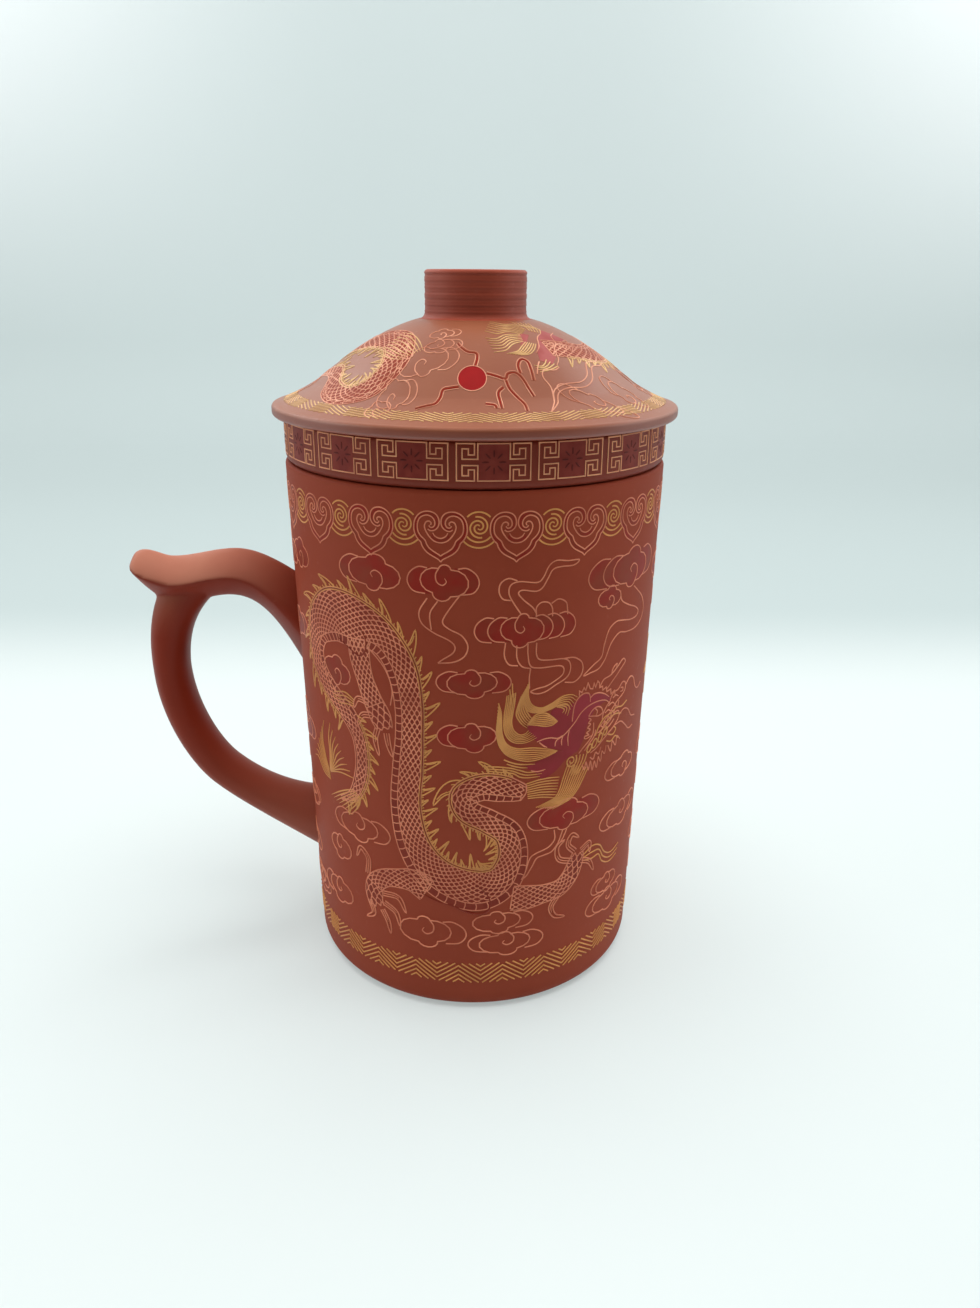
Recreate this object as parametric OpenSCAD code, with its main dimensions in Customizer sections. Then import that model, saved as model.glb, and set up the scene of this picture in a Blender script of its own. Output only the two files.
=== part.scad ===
// Clay tea mug: a cup with an ear handle, an infuser that lifts out of its mouth,
// and a domed lid that lifts off the infuser. The cup's axis is Z and it stands on z = 0.

/* [Cup] */
// Outside radius of the cup at its rim
rim_r = 40; // [37:0.5:46]
// Height of the rim above the table
cup_h = 115.6; // [104:0.2:135]
// How much smaller the outside radius is at the foot than at the rim
cup_draft = 2.1; // [0:0.1:4]
// Thickness of the cup's wall
cup_t = 4; // [3.4:0.2:5]
// Thickness of the base disc
base_t = 5; // [4:0.5:8]
// Radius of the rounded outer edge at the foot
foot_round = 3.2; // [1:0.1:3.3]
// Radius of the fillet between the wall and the base, inside
inner_fillet = 4; // [1:0.5:6]
// Rounding of the rim's two edges
rim_round = 0.8; // [0.3:0.1:1.4]

/* [Handle] */
// Height of the handle's lowest point above the table
handle_z = 21.6; // [10:0.2:32]
// Height of the handle, from its lowest point to its crest
handle_h = 73; // [60:0.5:80]
// How far the spur's tip reaches past the rim's radius
handle_reach = 36.2; // [30:0.2:44]
// Width of the handle's upper arm
handle_w = 12.8; // [10:0.2:16]
// Thickness of the loop, seen from the side
loop_t = 8.1; // [6:0.1:10]
// Step in from the arm's side to the loop's side
side_step = 0.7; // [0.2:0.1:1.5]
// How much each root widens towards the wall
root_flare = 3; // [0.5:0.25:4]

/* [Infuser] */
// Height of the collar that shows between the rim and the lid
collar_h = 9; // [6:0.5:14]
// How far the collar stays inside the rim's radius
collar_inset = 0.2; // [0:0.1:1.2]
// Radius of the collar's rounded lower edge
collar_round = 1.5; // [0.4:0.1:2.4]
// Gap between the basket and the cup's wall, just below the rim
basket_gap = 1.4; // [0.8:0.1:2.4]
// Gap between the basket's foot and the cup's wall
basket_foot_gap = 2.5; // [1:0.1:6]
// Thickness of the basket's wall
basket_t = 3; // [2.2:0.1:4]
// Depth of the basket below the rim
basket_depth = 76; // [50:1:88]
// Radius of the basket's rounded lower edge
basket_round = 2; // [0.5:0.1:2.1]
// Thickness of the pierced floor
floor_t = 3; // [2:0.25:5]
// Diameter of one hole in the floor
hole_d = 2.4; // [1.5:0.1:3.2]
// Distance from one ring of holes to the next
hole_pitch = 5.8; // [4.5:0.1:8]
// Least distance from the outermost ring to the basket's wall
hole_margin = 4.5; // [3:0.5:8]

/* [Lid] */
// How far the lip overhangs the rim's radius
lip_overhang = 2.1; // [1:0.1:5]
// Thickness of the lip
lip_t = 2.3; // [1.6:0.1:3.2]
// Height of the crown above the seat
lid_rise = 18.5; // [15:0.5:26]
// Distance in from the lip's edge to the turn between dome and flare
shoulder_in = 9.1; // [7:0.1:12]
// Height of that turn above the top of the lip
shoulder_h = 3.9; // [2.5:0.1:5.5]
// Thickness of the clay under the crown
lid_t = 4.5; // [3:0.25:6]
// Depth of the locating ring below the seat
flange_depth = 8; // [5:0.5:12]
// Thickness of the locating ring
flange_t = 3; // [2:0.25:4]
// Gap between the locating ring and the basket
flange_gap = 0.6; // [0.3:0.1:1.4]

/* [Knob] */
// Radius of the knob
knob_r = 10.4; // [8:0.1:13]
// Height of the knob above the crown
knob_h = 9.3; // [6:0.1:14]
// Radius of the hollow where the knob meets the crown
knob_fillet = 1.2; // [0.4:0.1:2]
// Radius of the knob's rounded upper edge
knob_round = 0.7; // [0.3:0.1:1.5]
// Depth of the dish turned in the knob's top
knob_dish = 1; // [0.3:0.1:3]
// Width of the rim left round the dish
knob_rim = 2.6; // [1.8:0.1:4]

/* [Hidden] */

clay = [0.58, 0.27, 0.21];
dark_clay = [0.48, 0.2, 0.15];

round_steps = 6; // straight steps in a rounded edge
curve_steps = 18; // straight steps in a dome's curve
section_sides = 24; // sides of the handle's section
turn_fn = 180; // facets of a preview turn

// The cup's outside and inside radius at a height.
function outer_r(z) = rim_r - cup_draft * (1 - z / cup_h);
function inner_r(z) = outer_r(z) - cup_t;

// The basket hangs from the collar, which sits on the rim.
seat_z = cup_h + collar_h; // the lid's seat on top of the collar
collar_r = rim_r - collar_inset;
basket_r = inner_r(cup_h) - basket_gap;
basket_z = cup_h - basket_depth;
basket_foot_r = inner_r(basket_z) - basket_foot_gap;
function basket_in(z) = basket_foot_r - basket_t + (basket_r - basket_foot_r) * (z - basket_z) / basket_depth;
floor_r = basket_in(basket_z);
hole_rings = floor((floor_r - hole_margin) / hole_pitch);
holes_per_ring = 6; // added by each ring

// The locating ring drops into the basket's mouth, under the lid.
lid_r = rim_r + lip_overhang;
flange_r = basket_r - basket_t - flange_gap;
cavity_r = flange_r - flange_t;
crown_z = seat_z + lid_rise;
knob_foot_r = knob_r + knob_fillet;
lip_round = lip_t / 3;

// Points of an arc about c, from angle a to angle b.
function arc(c, r, a, b) =
    [for (i = [0:round_steps]) c + r * [cos(a + (b - a) * i / round_steps), sin(a + (b - a) * i / round_steps)]];

// A point of the cubic curve with control points p.
function bez(p, t) =
    pow(1 - t, 3) * p[0] + 3 * pow(1 - t, 2) * t * p[1] + 3 * (1 - t) * t * t * p[2] + pow(t, 3) * p[3];
function curve(p) = [for (i = [0:curve_steps]) bez(p, i / curve_steps)];

// A point of the handle's outline, from [reach, rise] in hundredths of its reach and its height.
function at(p) = [-(rim_r + handle_reach * p[0] / 100), handle_z + handle_h * p[1] / 100];

// Upper and lower edge of the arm: four curves each, from inside the wall to the spur's tip.
arm_top = [
    [[-16, 87], [5.5, 95], [21, 100], [36, 100]],
    [[36, 100], [50, 100], [62, 97.5], [75, 97.5]],
    [[75, 97.5], [81, 97.5], [86, 99.5], [92, 99.5]],
    [[92, 99.5], [97, 99.5], [100, 98], [100, 95]],
];
arm_low = [
    [[-16, 50], [6, 71], [16.5, 85.5], [41, 85.5]],
    [[41, 85.5], [52, 85.5], [63, 83], [72, 83]],
    [[72, 83], [77, 83], [82, 82], [86, 83.5]],
    [[86, 83.5], [91, 85.5], [100, 91], [100, 95]],
];
arm_steps = [10, 8, 6, 10];

// Centre line of the loop: three curves, from inside the wall at the lower root to inside the arm.
loop_line = [
    [[-16, 7], [14.5, 11], [40, 18.5], [56, 26]],
    [[56, 26], [69, 32.5], [84, 47], [84, 62]],
    [[84, 62], [84, 74], [75, 83], [61, 90]],
];
loop_steps = [12, 12, 10];

root_thick = 1.3; // the lower root thickens by this many root flares
tip_narrow = 0.92; // the arm's width where the spur's round end starts, as a share of its full width
under_taper = 0.2; // how far the arm's underside draws in from its sides
end_share = 0.8; // the loop's end inside the arm, as a share of its full section

// One ring of the handle about the middle m, with up the vector to its outer edge and w the half width.
function ring(m, up, w, taper) = [
    for (k = [0:section_sides - 1])
        let (a = 360 * k / section_sides, s = sin(a), y = w * cos(a) * (1 - taper * max(0, -s)))
        [m[0] + up[0] * s, y, m[1] + up[1] * s]
];

// The arm's rings: even steps, but closer and closer on the round tip.
function arm_t(j, i) = j < 3 ? i / arm_steps[j] : sin(90 * i / arm_steps[j]);
function arm_w(j, t) =
    handle_w / 2 * (j < 2 ? 1 : j == 2 ? 1 - (1 - tip_narrow) * t : tip_narrow * sqrt(max(1 - t * t, 0)))
    + (j == 0 ? root_flare * pow(1 - t, 3) : 0);
arm_rings = [
    for (j = [0:3]) for (i = [(j == 0 ? 0 : 1):(j < 3 ? arm_steps[j] : arm_steps[j] - 1)])
        let (t = arm_t(j, i), top = at(bez(arm_top[j], t)), low = at(bez(arm_low[j], t)))
        ring((top + low) / 2, (top - low) / 2, arm_w(j, t), under_taper)
];
spur_tip = at(arm_top[3][3]);

// The loop's rings stand square to its centre line.
function slope(p, t) = at(bez(p, t + 0.01)) - at(bez(p, t - 0.01));
loop_rings = [
    for (j = [0:2]) for (i = [(j == 0 ? 0 : 1):loop_steps[j]])
        let (
            t = i / loop_steps[j],
            d = slope(loop_line[j], t),
            flare = j == 0 ? root_flare * pow(1 - t, 3) : 0,
            share = j < 2 ? 1 : 1 - (1 - end_share) * t,
            half = (loop_t / 2 + root_thick * flare) * share,
            w = (handle_w / 2 - side_step + flare) * share
        )
        ring(at(bez(loop_line[j], t)), [d[1], -d[0]] / norm(d) * half, w, 0)
];

// A closed skin over rings of points, with a point or a flat cap at its far end.
module skin(rings, tip) {
    n = len(rings[0]);
    m = len(rings);
    points = concat([for (r = rings) each r], [tip]);
    sides = [
        for (i = [0:m - 2]) for (k = [0:n - 1])
            let (a = i * n + k, b = i * n + (k + 1) % n)
            each [[a, b, b + n], [a, b + n, a + n]]
    ];
    near = [[for (k = [n - 1:-1:0]) k]];
    far = [for (k = [0:n - 1]) [(m - 1) * n + k, (m - 1) * n + (k + 1) % n, m * n]];
    polyhedron(points, concat(sides, near, far), convexity = 6);
}

// The middle of a ring, which closes a flat end.
function middle(r) = [for (x = [0:2]) sum([for (p = r) p[x]]) / len(r)];
function sum(v, i = 0) = i < len(v) ? v[i] + sum(v, i + 1) : 0;

// Tapering wall with a round foot edge, a round rim and a fillet that stands on the base disc.
module cup_wall() {
    foot = [outer_r(0) - foot_round, foot_round];
    fillet = [inner_r(base_t + inner_fillet) - inner_fillet, base_t + inner_fillet];
    color(clay) rotate_extrude($fn = turn_fn) polygon(concat(
        [[inner_r(0), 0]],
        arc(foot, foot_round, -90, 0),
        arc([rim_r - rim_round, cup_h - rim_round], rim_round, 0, 90),
        arc([inner_r(cup_h) + rim_round, cup_h - rim_round], rim_round, 90, 180),
        arc(fillet, inner_fillet, 0, -90),
        [[inner_r(base_t), base_t]]
    ));
}

// Flat disc inside the wall's foot.
module cup_base() {
    color(dark_clay) cylinder(h = base_t, r1 = inner_r(0), r2 = inner_r(base_t), $fn = turn_fn);
}

// Ear handle: a loop that springs from the lower root and runs up into an arm with a curled spur.
// Both roots are cut to the slope of the cup's wall.
module handle() {
    color(clay) difference() {
        resize([0, 0, 0]) {
            skin(arm_rings, [spur_tip[0], 0, spur_tip[1]]);
            skin(loop_rings, middle(loop_rings[len(loop_rings) - 1]));
        }
        cylinder(h = cup_h, r1 = outer_r(0), r2 = rim_r, $fn = turn_fn);
    }
}

// Plain ring round the basket's mouth. Its underside rests on the cup's rim.
module infuser_collar() {
    top_round = min(rim_round, collar_h / 4);
    color(clay) rotate_extrude($fn = turn_fn) polygon(concat(
        [[basket_r, cup_h]],
        arc([collar_r - collar_round, cup_h + collar_round], collar_round, -90, 0),
        arc([collar_r - top_round, seat_z - top_round], top_round, 0, 90),
        [[basket_r, seat_z]]
    ));
}

// Tube that hangs inside the cup, straight in the collar and tapering below it.
module infuser_basket() {
    color(dark_clay) rotate_extrude($fn = turn_fn) polygon(concat(
        [[floor_r, basket_z]],
        arc([basket_foot_r - basket_round, basket_z + basket_round], basket_round, -90, 0),
        [[basket_r, cup_h], [basket_r, seat_z]],
        [[basket_r - basket_t, seat_z], [basket_r - basket_t, cup_h]]
    ));
}

// Pierced disc that closes the basket's foot.
module infuser_floor() {
    color(dark_clay) difference() {
        translate([0, 0, basket_z]) cylinder(h = floor_t, r1 = floor_r, r2 = basket_in(basket_z + floor_t), $fn = turn_fn);
        for (ring_no = [0:hole_rings]) for (k = [1:max(1, holes_per_ring * ring_no)])
            rotate(360 * k / max(1, holes_per_ring * ring_no))
                translate([ring_no * hole_pitch, 0, basket_z - 1])
                    cylinder(h = floor_t + 2, d = hole_d, $fn = 24);
    }
}

// Ogee dome: a round crown that turns into a flare, and a lip with a round edge. It is hollow underneath.
module lid_dome() {
    lip_z = seat_z + lip_t;
    shoulder = [lid_r - shoulder_in, lip_z + shoulder_h];
    flare_end = [lid_r - lip_round, lip_z];
    crown_in = [knob_foot_r, crown_z];
    span = shoulder[0] - knob_foot_r;
    drop = crown_z - shoulder[1];
    cavity_h = lid_rise - lid_t;
    dome = curve([crown_in, crown_in + [0.38 * span, -0.17 * drop], shoulder + [-0.27 * span, 0.38 * drop], shoulder]);
    flare = curve([shoulder, shoulder + [0.22 * shoulder_in, -0.33 * shoulder_h],
                   flare_end + [-0.32 * shoulder_in, 0.22 * shoulder_h], flare_end]);
    hollow = curve([[0, seat_z + cavity_h], [cavity_r * 0.5, seat_z + cavity_h],
                    [cavity_r, seat_z + cavity_h * 0.62], [cavity_r, seat_z]]);
    color(clay) rotate_extrude($fn = turn_fn) polygon(concat(
        hollow,
        arc([lid_r - lip_round, seat_z + lip_round], lip_round, -90, 0),
        arc([lid_r - lip_round, lip_z - lip_round], lip_round, 0, 90),
        [for (i = [len(flare) - 2:-1:1]) flare[i]],
        [for (i = [len(dome) - 1:-1:0]) dome[i]],
        [[0, crown_z]]
    ));
}

// Ring luted under the dome. It drops into the basket's mouth.
module lid_flange() {
    edge = min(rim_round, flange_t / 3);
    low = seat_z - flange_depth;
    color(dark_clay) rotate_extrude($fn = turn_fn) polygon(concat(
        [[cavity_r, seat_z]],
        arc([cavity_r + edge, low + edge], edge, 180, 270),
        arc([flange_r - edge, low + edge], edge, 270, 360),
        [[flange_r, seat_z]]
    ));
}

// Turned knob with a hollow foot, a round edge and a shallow dish in its top.
module lid_knob() {
    top_z = crown_z + knob_h;
    dish_r = knob_r - knob_rim;
    color(clay) rotate_extrude($fn = turn_fn) polygon(concat(
        [[0, crown_z], [knob_foot_r, crown_z]],
        arc([knob_foot_r, crown_z + knob_fillet], knob_fillet, 270, 180),
        arc([knob_r - knob_round, top_z - knob_round], knob_round, 0, 90),
        [[dish_r, top_z], [dish_r - knob_dish, top_z - knob_dish], [0, top_z - knob_dish]]
    ));
}

cup_wall();
cup_base();
handle();
infuser_collar();
infuser_basket();
infuser_floor();
lid_dome();
lid_flange();
lid_knob();
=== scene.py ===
# Red clay tea mug with a lift-out infuser and a domed lid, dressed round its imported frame.
# Lengths are millimetres until a mesh is filled; materials and the studio's lamps count in metres.
import functools
import math

import bpy
import numpy as np
from mathutils import Matrix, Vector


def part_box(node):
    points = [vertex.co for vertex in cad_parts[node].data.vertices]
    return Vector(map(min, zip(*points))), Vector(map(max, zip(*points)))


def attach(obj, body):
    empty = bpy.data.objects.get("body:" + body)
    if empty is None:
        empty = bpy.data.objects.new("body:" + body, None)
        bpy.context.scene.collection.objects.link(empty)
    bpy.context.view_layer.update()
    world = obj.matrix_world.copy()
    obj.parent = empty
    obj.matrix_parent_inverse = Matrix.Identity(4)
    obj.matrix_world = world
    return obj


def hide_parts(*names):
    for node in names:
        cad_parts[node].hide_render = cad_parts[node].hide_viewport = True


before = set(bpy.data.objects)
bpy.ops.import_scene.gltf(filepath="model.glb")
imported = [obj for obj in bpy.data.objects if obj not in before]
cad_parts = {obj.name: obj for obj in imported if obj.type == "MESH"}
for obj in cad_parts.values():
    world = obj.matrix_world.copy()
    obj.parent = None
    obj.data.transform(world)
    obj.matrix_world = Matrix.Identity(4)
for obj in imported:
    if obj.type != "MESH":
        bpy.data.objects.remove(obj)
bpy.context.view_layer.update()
mm = 0.001
tau = 2 * math.pi
creaseAngle = math.radians(40)


def spanOf(node):
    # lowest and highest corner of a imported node, in millimetres
    low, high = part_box(node)
    return np.array(low) / mm, np.array(high) / mm


def arc(centre, radius, start, end, steps=8):
    # points at an even angle step round the centre, from start to end in degrees
    a = np.radians(np.linspace(start, end, steps + 1))
    return np.stack([centre[0] + radius * np.cos(a), centre[1] + radius * np.sin(a)], -1)


def bezier(controls, t):
    # cubic weights of the four control points at each t
    p = np.asarray(controls, float)
    t = np.asarray(t, float)[:, None]
    return (1 - t) ** 3 * p[0] + 3 * (1 - t) ** 2 * t * p[1] + 3 * (1 - t) * t ** 2 * p[2] + t ** 3 * p[3]


def curveThrough(points, steps=6):
    # each span between two points is the cubic that leaves and meets them along their neighbours' chord
    p = np.asarray(points, float)
    p = np.concatenate([2 * p[:1] - p[1:2], p, 2 * p[-1:] - p[-2:-1]])
    a, b, c, d = (q[:, None] for q in (p[:-3], p[1:-2], p[2:-1], p[3:]))
    t = (np.arange(steps) / steps)[None, :, None]
    spans = 0.5 * (
        2 * b + (c - a) * t + (2 * a - 5 * b + 4 * c - d) * t ** 2 + (3 * b - a - 3 * c + d) * t ** 3
    )
    return np.concatenate([spans.reshape(-1, p.shape[1]), p[-2:-1]])


def scallops(notches, bulges, steps=7):
    # between two notches the outline is an arc: a chord pushed out by bulge times its length
    a = np.asarray(notches, float)
    chord = np.roll(a, -1, 0) - a
    rise = np.asarray(bulges, float)[:, None, None]
    half = 2 * np.arctan(2 * rise)
    t = np.linspace(-1, 1, steps + 1)[None, :-1, None]
    along = 0.5 + 0.5 * np.sin(half * t) / np.sin(half)
    out = 0.5 * (np.cos(half * t) - np.cos(half)) / np.sin(half)
    side = np.stack([-chord[:, 1], chord[:, 0]], -1)
    ring = a[:, None] + chord[:, None] * along + side[:, None] * out
    return np.concatenate([ring.reshape(-1, 2), a[:1]])


def placed(points, at=(0, 0), size=(1, 1), turn=0):
    # points scaled, turned and set down on the drawing
    p = np.asarray(points, float) * size
    c, s = math.cos(math.radians(turn)), math.sin(math.radians(turn))
    return p @ np.array([[c, s], [-s, c]]) + at


def mirrored(points):
    return np.asarray(points, float) * (-1, 1)


def shown(name, data):
    # an object of the given data, put in the scene
    made = bpy.data.objects.new(name, data)
    bpy.context.scene.collection.objects.link(made)
    return made


def fillMesh(name, points, quads, tris=()):
    # one mesh from whole arrays, turned right side out by the sign of its volume
    quads = np.asarray(quads, np.int32).reshape(-1, 4)
    tris = np.asarray(tris, np.int32).reshape(-1, 3)
    halves = np.concatenate([quads[:, [0, 1, 2]], quads[:, [0, 2, 3]], tris])
    a, b, c = (points[halves[:, k]] for k in range(3))
    if (np.cross(a, b) * c).sum() < 0:
        quads, tris = quads[:, ::-1], tris[:, ::-1]
    mesh = bpy.data.meshes.new(name)
    mesh.vertices.add(len(points))
    mesh.vertices.foreach_set("co", (points * mm).astype(np.float32).ravel())
    corners = np.concatenate([quads.ravel(), tris.ravel()])
    mesh.loops.add(len(corners))
    mesh.loops.foreach_set("vertex_index", corners)
    counts = np.concatenate([np.full(len(quads), 4), np.full(len(tris), 3)])
    mesh.polygons.add(len(counts))
    mesh.polygons.foreach_set("loop_start", (np.cumsum(counts) - counts).astype(np.int32))
    mesh.update(calc_edges=True)
    mesh.shade_smooth()
    mesh.set_sharp_from_angle(angle=creaseAngle)
    return shown(name, mesh)


def gridFaces(rows, cols, wrapRows):
    # quads between neighbours of a grid whose columns close on themselves
    i = np.arange(rows if wrapRows else rows - 1)[:, None]
    j = np.arange(cols)[None]
    a, b = i * cols + j, i * cols + (j + 1) % cols
    below = (i + 1) % rows
    return np.stack([a, b, below * cols + (j + 1) % cols, below * cols + j], -1).reshape(-1, 4)


def skinOver(rings, poles=None):
    # the rings' quads, with a fan at each end to its pole, or to the ring's own middle
    n, k = rings.shape[:2]
    if poles is None:
        poles = rings[[0, -1]].mean(1)
    points = np.concatenate([rings.reshape(-1, 3), poles])
    j = np.arange(k)
    nextOne = (j + 1) % k
    last = (n - 1) * k
    tris = np.concatenate([
        np.stack([np.full(k, n * k), nextOne, j], -1),
        np.stack([np.full(k, n * k + 1), last + j, last + nextOne], -1)
    ])
    return points, gridFaces(n, k, False), tris


def joinedSkins(name, skins):
    # one mesh of many closed skins
    points, quads, tris = zip(*skins)
    starts = np.cumsum([0] + [len(p) for p in points])
    quads, tris = (
        np.concatenate([face + start for face, start in zip(faces, starts)]) for faces in (quads, tris)
    )
    return fillMesh(name, np.concatenate(points), quads, tris)


def turned(name, section, steps=288):
    # a closed section (r, z) swung round Z; where it starts and ends on the axis, both ends are poles
    section = np.asarray(section, float)
    onAxis = section[0, 0] == 0
    ring = section[1:-1] if onAxis else section
    a = np.arange(steps) * tau / steps
    rings = np.stack([ring[:, :1] * np.cos(a), ring[:, :1] * np.sin(a), np.repeat(ring[:, 1:], steps, 1)], -1)
    if onAxis:
        return fillMesh(name, *skinOver(rings, [(0, 0, z) for z in section[[0, -1], 1]]))
    return fillMesh(name, rings.reshape(-1, 3), gridFaces(len(ring), steps, True))


def feed(tree, socket, value):
    # another node's output is linked to the socket, and a number or a colour is set on it
    if isinstance(value, bpy.types.NodeSocket):
        tree.links.new(value, socket)
    else:
        socket.default_value = value


def addNode(tree, kind, inputs=(), **settings):
    node = tree.nodes.new("ShaderNode" + kind)
    for name, value in settings.items():
        setattr(node, name, value)
    for socket, value in dict(inputs).items():
        feed(tree, node.inputs[socket], value)
    return node


def noiseNode(tree, vector, scale, detail):
    return addNode(tree, "TexNoise", {"Vector": vector, "Scale": scale, "Detail": detail}).outputs["Fac"]


def mathNode(tree, operation, a, b=0):
    return addNode(tree, "Math", {0: a, 1: b}, operation=operation).outputs[0]


def rampNode(tree, value, low, high, kind="LINEAR"):
    # 0 at the low value and 1 at the high one
    sockets = {"Value": value, "From Min": low, "From Max": high}
    return addNode(tree, "MapRange", sockets, interpolation_type=kind).outputs["Result"]


def blendNode(tree, share, a, b):
    return addNode(tree, "Mix", {"Factor": share, "A": a, "B": b}, data_type="RGBA").outputs["Result"]


def nodeMakers(tree):
    # the makers above, each ready to add to the one tree
    return [functools.partial(make, tree) for make in (addNode, mathNode, rampNode, blendNode)]


firedLook = dict(
    drift=(45, 4), grain=(1500, 3), specks=(900, 1), rings=(700, 3),  # each noise's scale and detail
    driftSpan=(0.3, 0.7), speckSpan=(0.66, 0.74), speckTone=0.16, speckGloss=-0.08, driftGloss=0.16,
    grainHeight=0.35, bump=0.35, bumpDepth=0.00012,
    # facing and the patches shape the painted sheen: how far a surface faces up, and its patchy strength
    facing=(-0.15, 0.45), patchSpan=(0.25, 0.75), patchShare=0.5, patchLeast=0.75,
    # in metres: where the lid's painted shade gives way on the arm, out from the wall and up, and the painted
    # reflection on the lower root
    lidShadeOut=(-0.036, -0.06), lidShadeUp=(0.075, 0.09), reflectionOut=(-0.068, -0.048),
    reflectionUp=(0.07, 0.045), reflectionShare=0.3,
)


def firedGrainGroup():
    # kiln-fired clay: a slow drift of tone, fine grain, pale grog specks and faint level turning marks;
    # a painted sheen makes what faces up paler, either all over or only out on the arm, where no painted lid
    # shade holds it off, and a little painted reflection spreads over what meets the wall lower down
    look = firedLook
    group = bpy.data.node_groups.new("firedGrain", "ShaderNodeTree")
    for inOut, kind, names in (
        ("INPUT", "Color", ("Clay", "Worn clay", "Painted sheen")),
        ("INPUT", "Float", ("Drift", "Marks", "Gloss", "Painted sheen share", "Painted sheen all over")),
        ("OUTPUT", "Color", ("Color",)), ("OUTPUT", "Float", ("Roughness",)),
        ("OUTPUT", "Vector", ("Normal",)),
    ):
        for name in names:
            group.interface.new_socket(name=name, in_out=inOut, socket_type="NodeSocket" + kind)
    add, maths, ramp, blend = nodeMakers(group)
    noise = functools.partial(noiseNode, group)
    gin, gout = (group.nodes.new(kind) for kind in ("NodeGroupInput", "NodeGroupOutput"))
    where = add("TexCoord").outputs["Object"]
    parts = add("SeparateXYZ", {0: where}).outputs
    x, z = parts["X"], parts["Z"]
    drift, grain, specks = (noise(where, *look[name]) for name in ("drift", "grain", "specks"))
    specks = ramp(specks, *look["speckSpan"])
    # this noise changes with height alone: level rings
    marks = noise(add("CombineXYZ", {"Z": z}).outputs[0], *look["rings"])

    tone = maths("MULTIPLY", ramp(drift, *look["driftSpan"]), gin.outputs["Drift"])
    tone = maths("ADD", tone, maths("MULTIPLY", specks, look["speckTone"]))
    tone = maths("ADD", tone, maths("MULTIPLY", maths("SUBTRACT", marks, 0.5), gin.outputs["Marks"]))
    fired = blend(tone, gin.outputs["Clay"], gin.outputs["Worn clay"])
    # painted sheen: what faces up is made paler, standing in for the light that falls on it from above
    upward = add("SeparateXYZ", {0: add("NewGeometry").outputs["Normal"]}).outputs["Z"]
    paintedSheen = maths("MULTIPLY", ramp(upward, *look["facing"]), gin.outputs["Painted sheen share"])
    patches = maths("MULTIPLY", ramp(drift, *look["patchSpan"]), look["patchShare"])
    paintedSheen = maths("MULTIPLY", paintedSheen, maths("ADD", patches, look["patchLeast"]))
    # painted shade: near the wall, where the lid shades the arm, the sheen is held off unless it lies all
    # over
    clearOfLidShade = maths("MULTIPLY", ramp(x, *look["lidShadeOut"]), ramp(z, *look["lidShadeUp"]))
    paintedSheen = maths("MULTIPLY", paintedSheen, maths("MAXIMUM", clearOfLidShade, gin.outputs["Painted sheen all over"]))
    # painted reflection: a little pale tone where the loop meets the wall lower down, standing in for light
    # from below
    rootReflection = maths("MULTIPLY", ramp(x, *look["reflectionOut"]), ramp(z, *look["reflectionUp"]))
    rootReflection = maths("MULTIPLY", rootReflection, maths("MULTIPLY", gin.outputs["Painted sheen share"], look["reflectionShare"]))
    feed(group, gout.inputs["Color"], blend(maths("ADD", paintedSheen, rootReflection), fired, gin.outputs["Painted sheen"]))

    gloss = maths("MULTIPLY", maths("SUBTRACT", drift, 0.5), look["driftGloss"])
    gloss = maths("ADD", gin.outputs["Gloss"], gloss)
    feed(group, gout.inputs["Roughness"], maths("ADD", gloss, maths("MULTIPLY", specks, look["speckGloss"])))
    fine = maths("MULTIPLY", grain, look["grainHeight"])
    height = maths("ADD", fine, maths("MULTIPLY", marks, gin.outputs["Marks"]))
    bump = add("Bump", {"Strength": look["bump"], "Distance": look["bumpDepth"], "Height": height})
    feed(group, gout.inputs["Normal"], bump.outputs[0])
    return group


firedGrain = firedGrainGroup()


def emptyMaterial(name):
    material = bpy.data.materials.new(name)
    material.use_nodes = True
    tree = material.node_tree
    tree.nodes.clear()
    shader = addNode(tree, "BsdfPrincipled")
    addNode(tree, "OutputMaterial", {"Surface": shader.outputs[0]}, name="end")
    return material, tree, shader


def clay(name, color, worn, drift, marks, gloss=0.5, specular=0.5, paintedSheen=0, paintedSheenTone=(0, 0, 0), sheenAllOver=0):
    material, tree, shader = emptyMaterial(name)
    grain = addNode(tree, "Group", {
        "Clay": (*color, 1), "Worn clay": (*worn, 1), "Drift": drift, "Marks": marks, "Gloss": gloss,
        "Painted sheen": (*paintedSheenTone, 1), "Painted sheen share": paintedSheen, "Painted sheen all over": sheenAllOver,
    }, node_tree=firedGrain)
    for socket, part in (("Base Color", "Color"), ("Roughness", "Roughness"), ("Normal", "Normal")):
        feed(tree, shader.inputs[socket], grain.outputs[part])
    shader.inputs["Specular IOR Level"].default_value = specular
    return material


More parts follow.
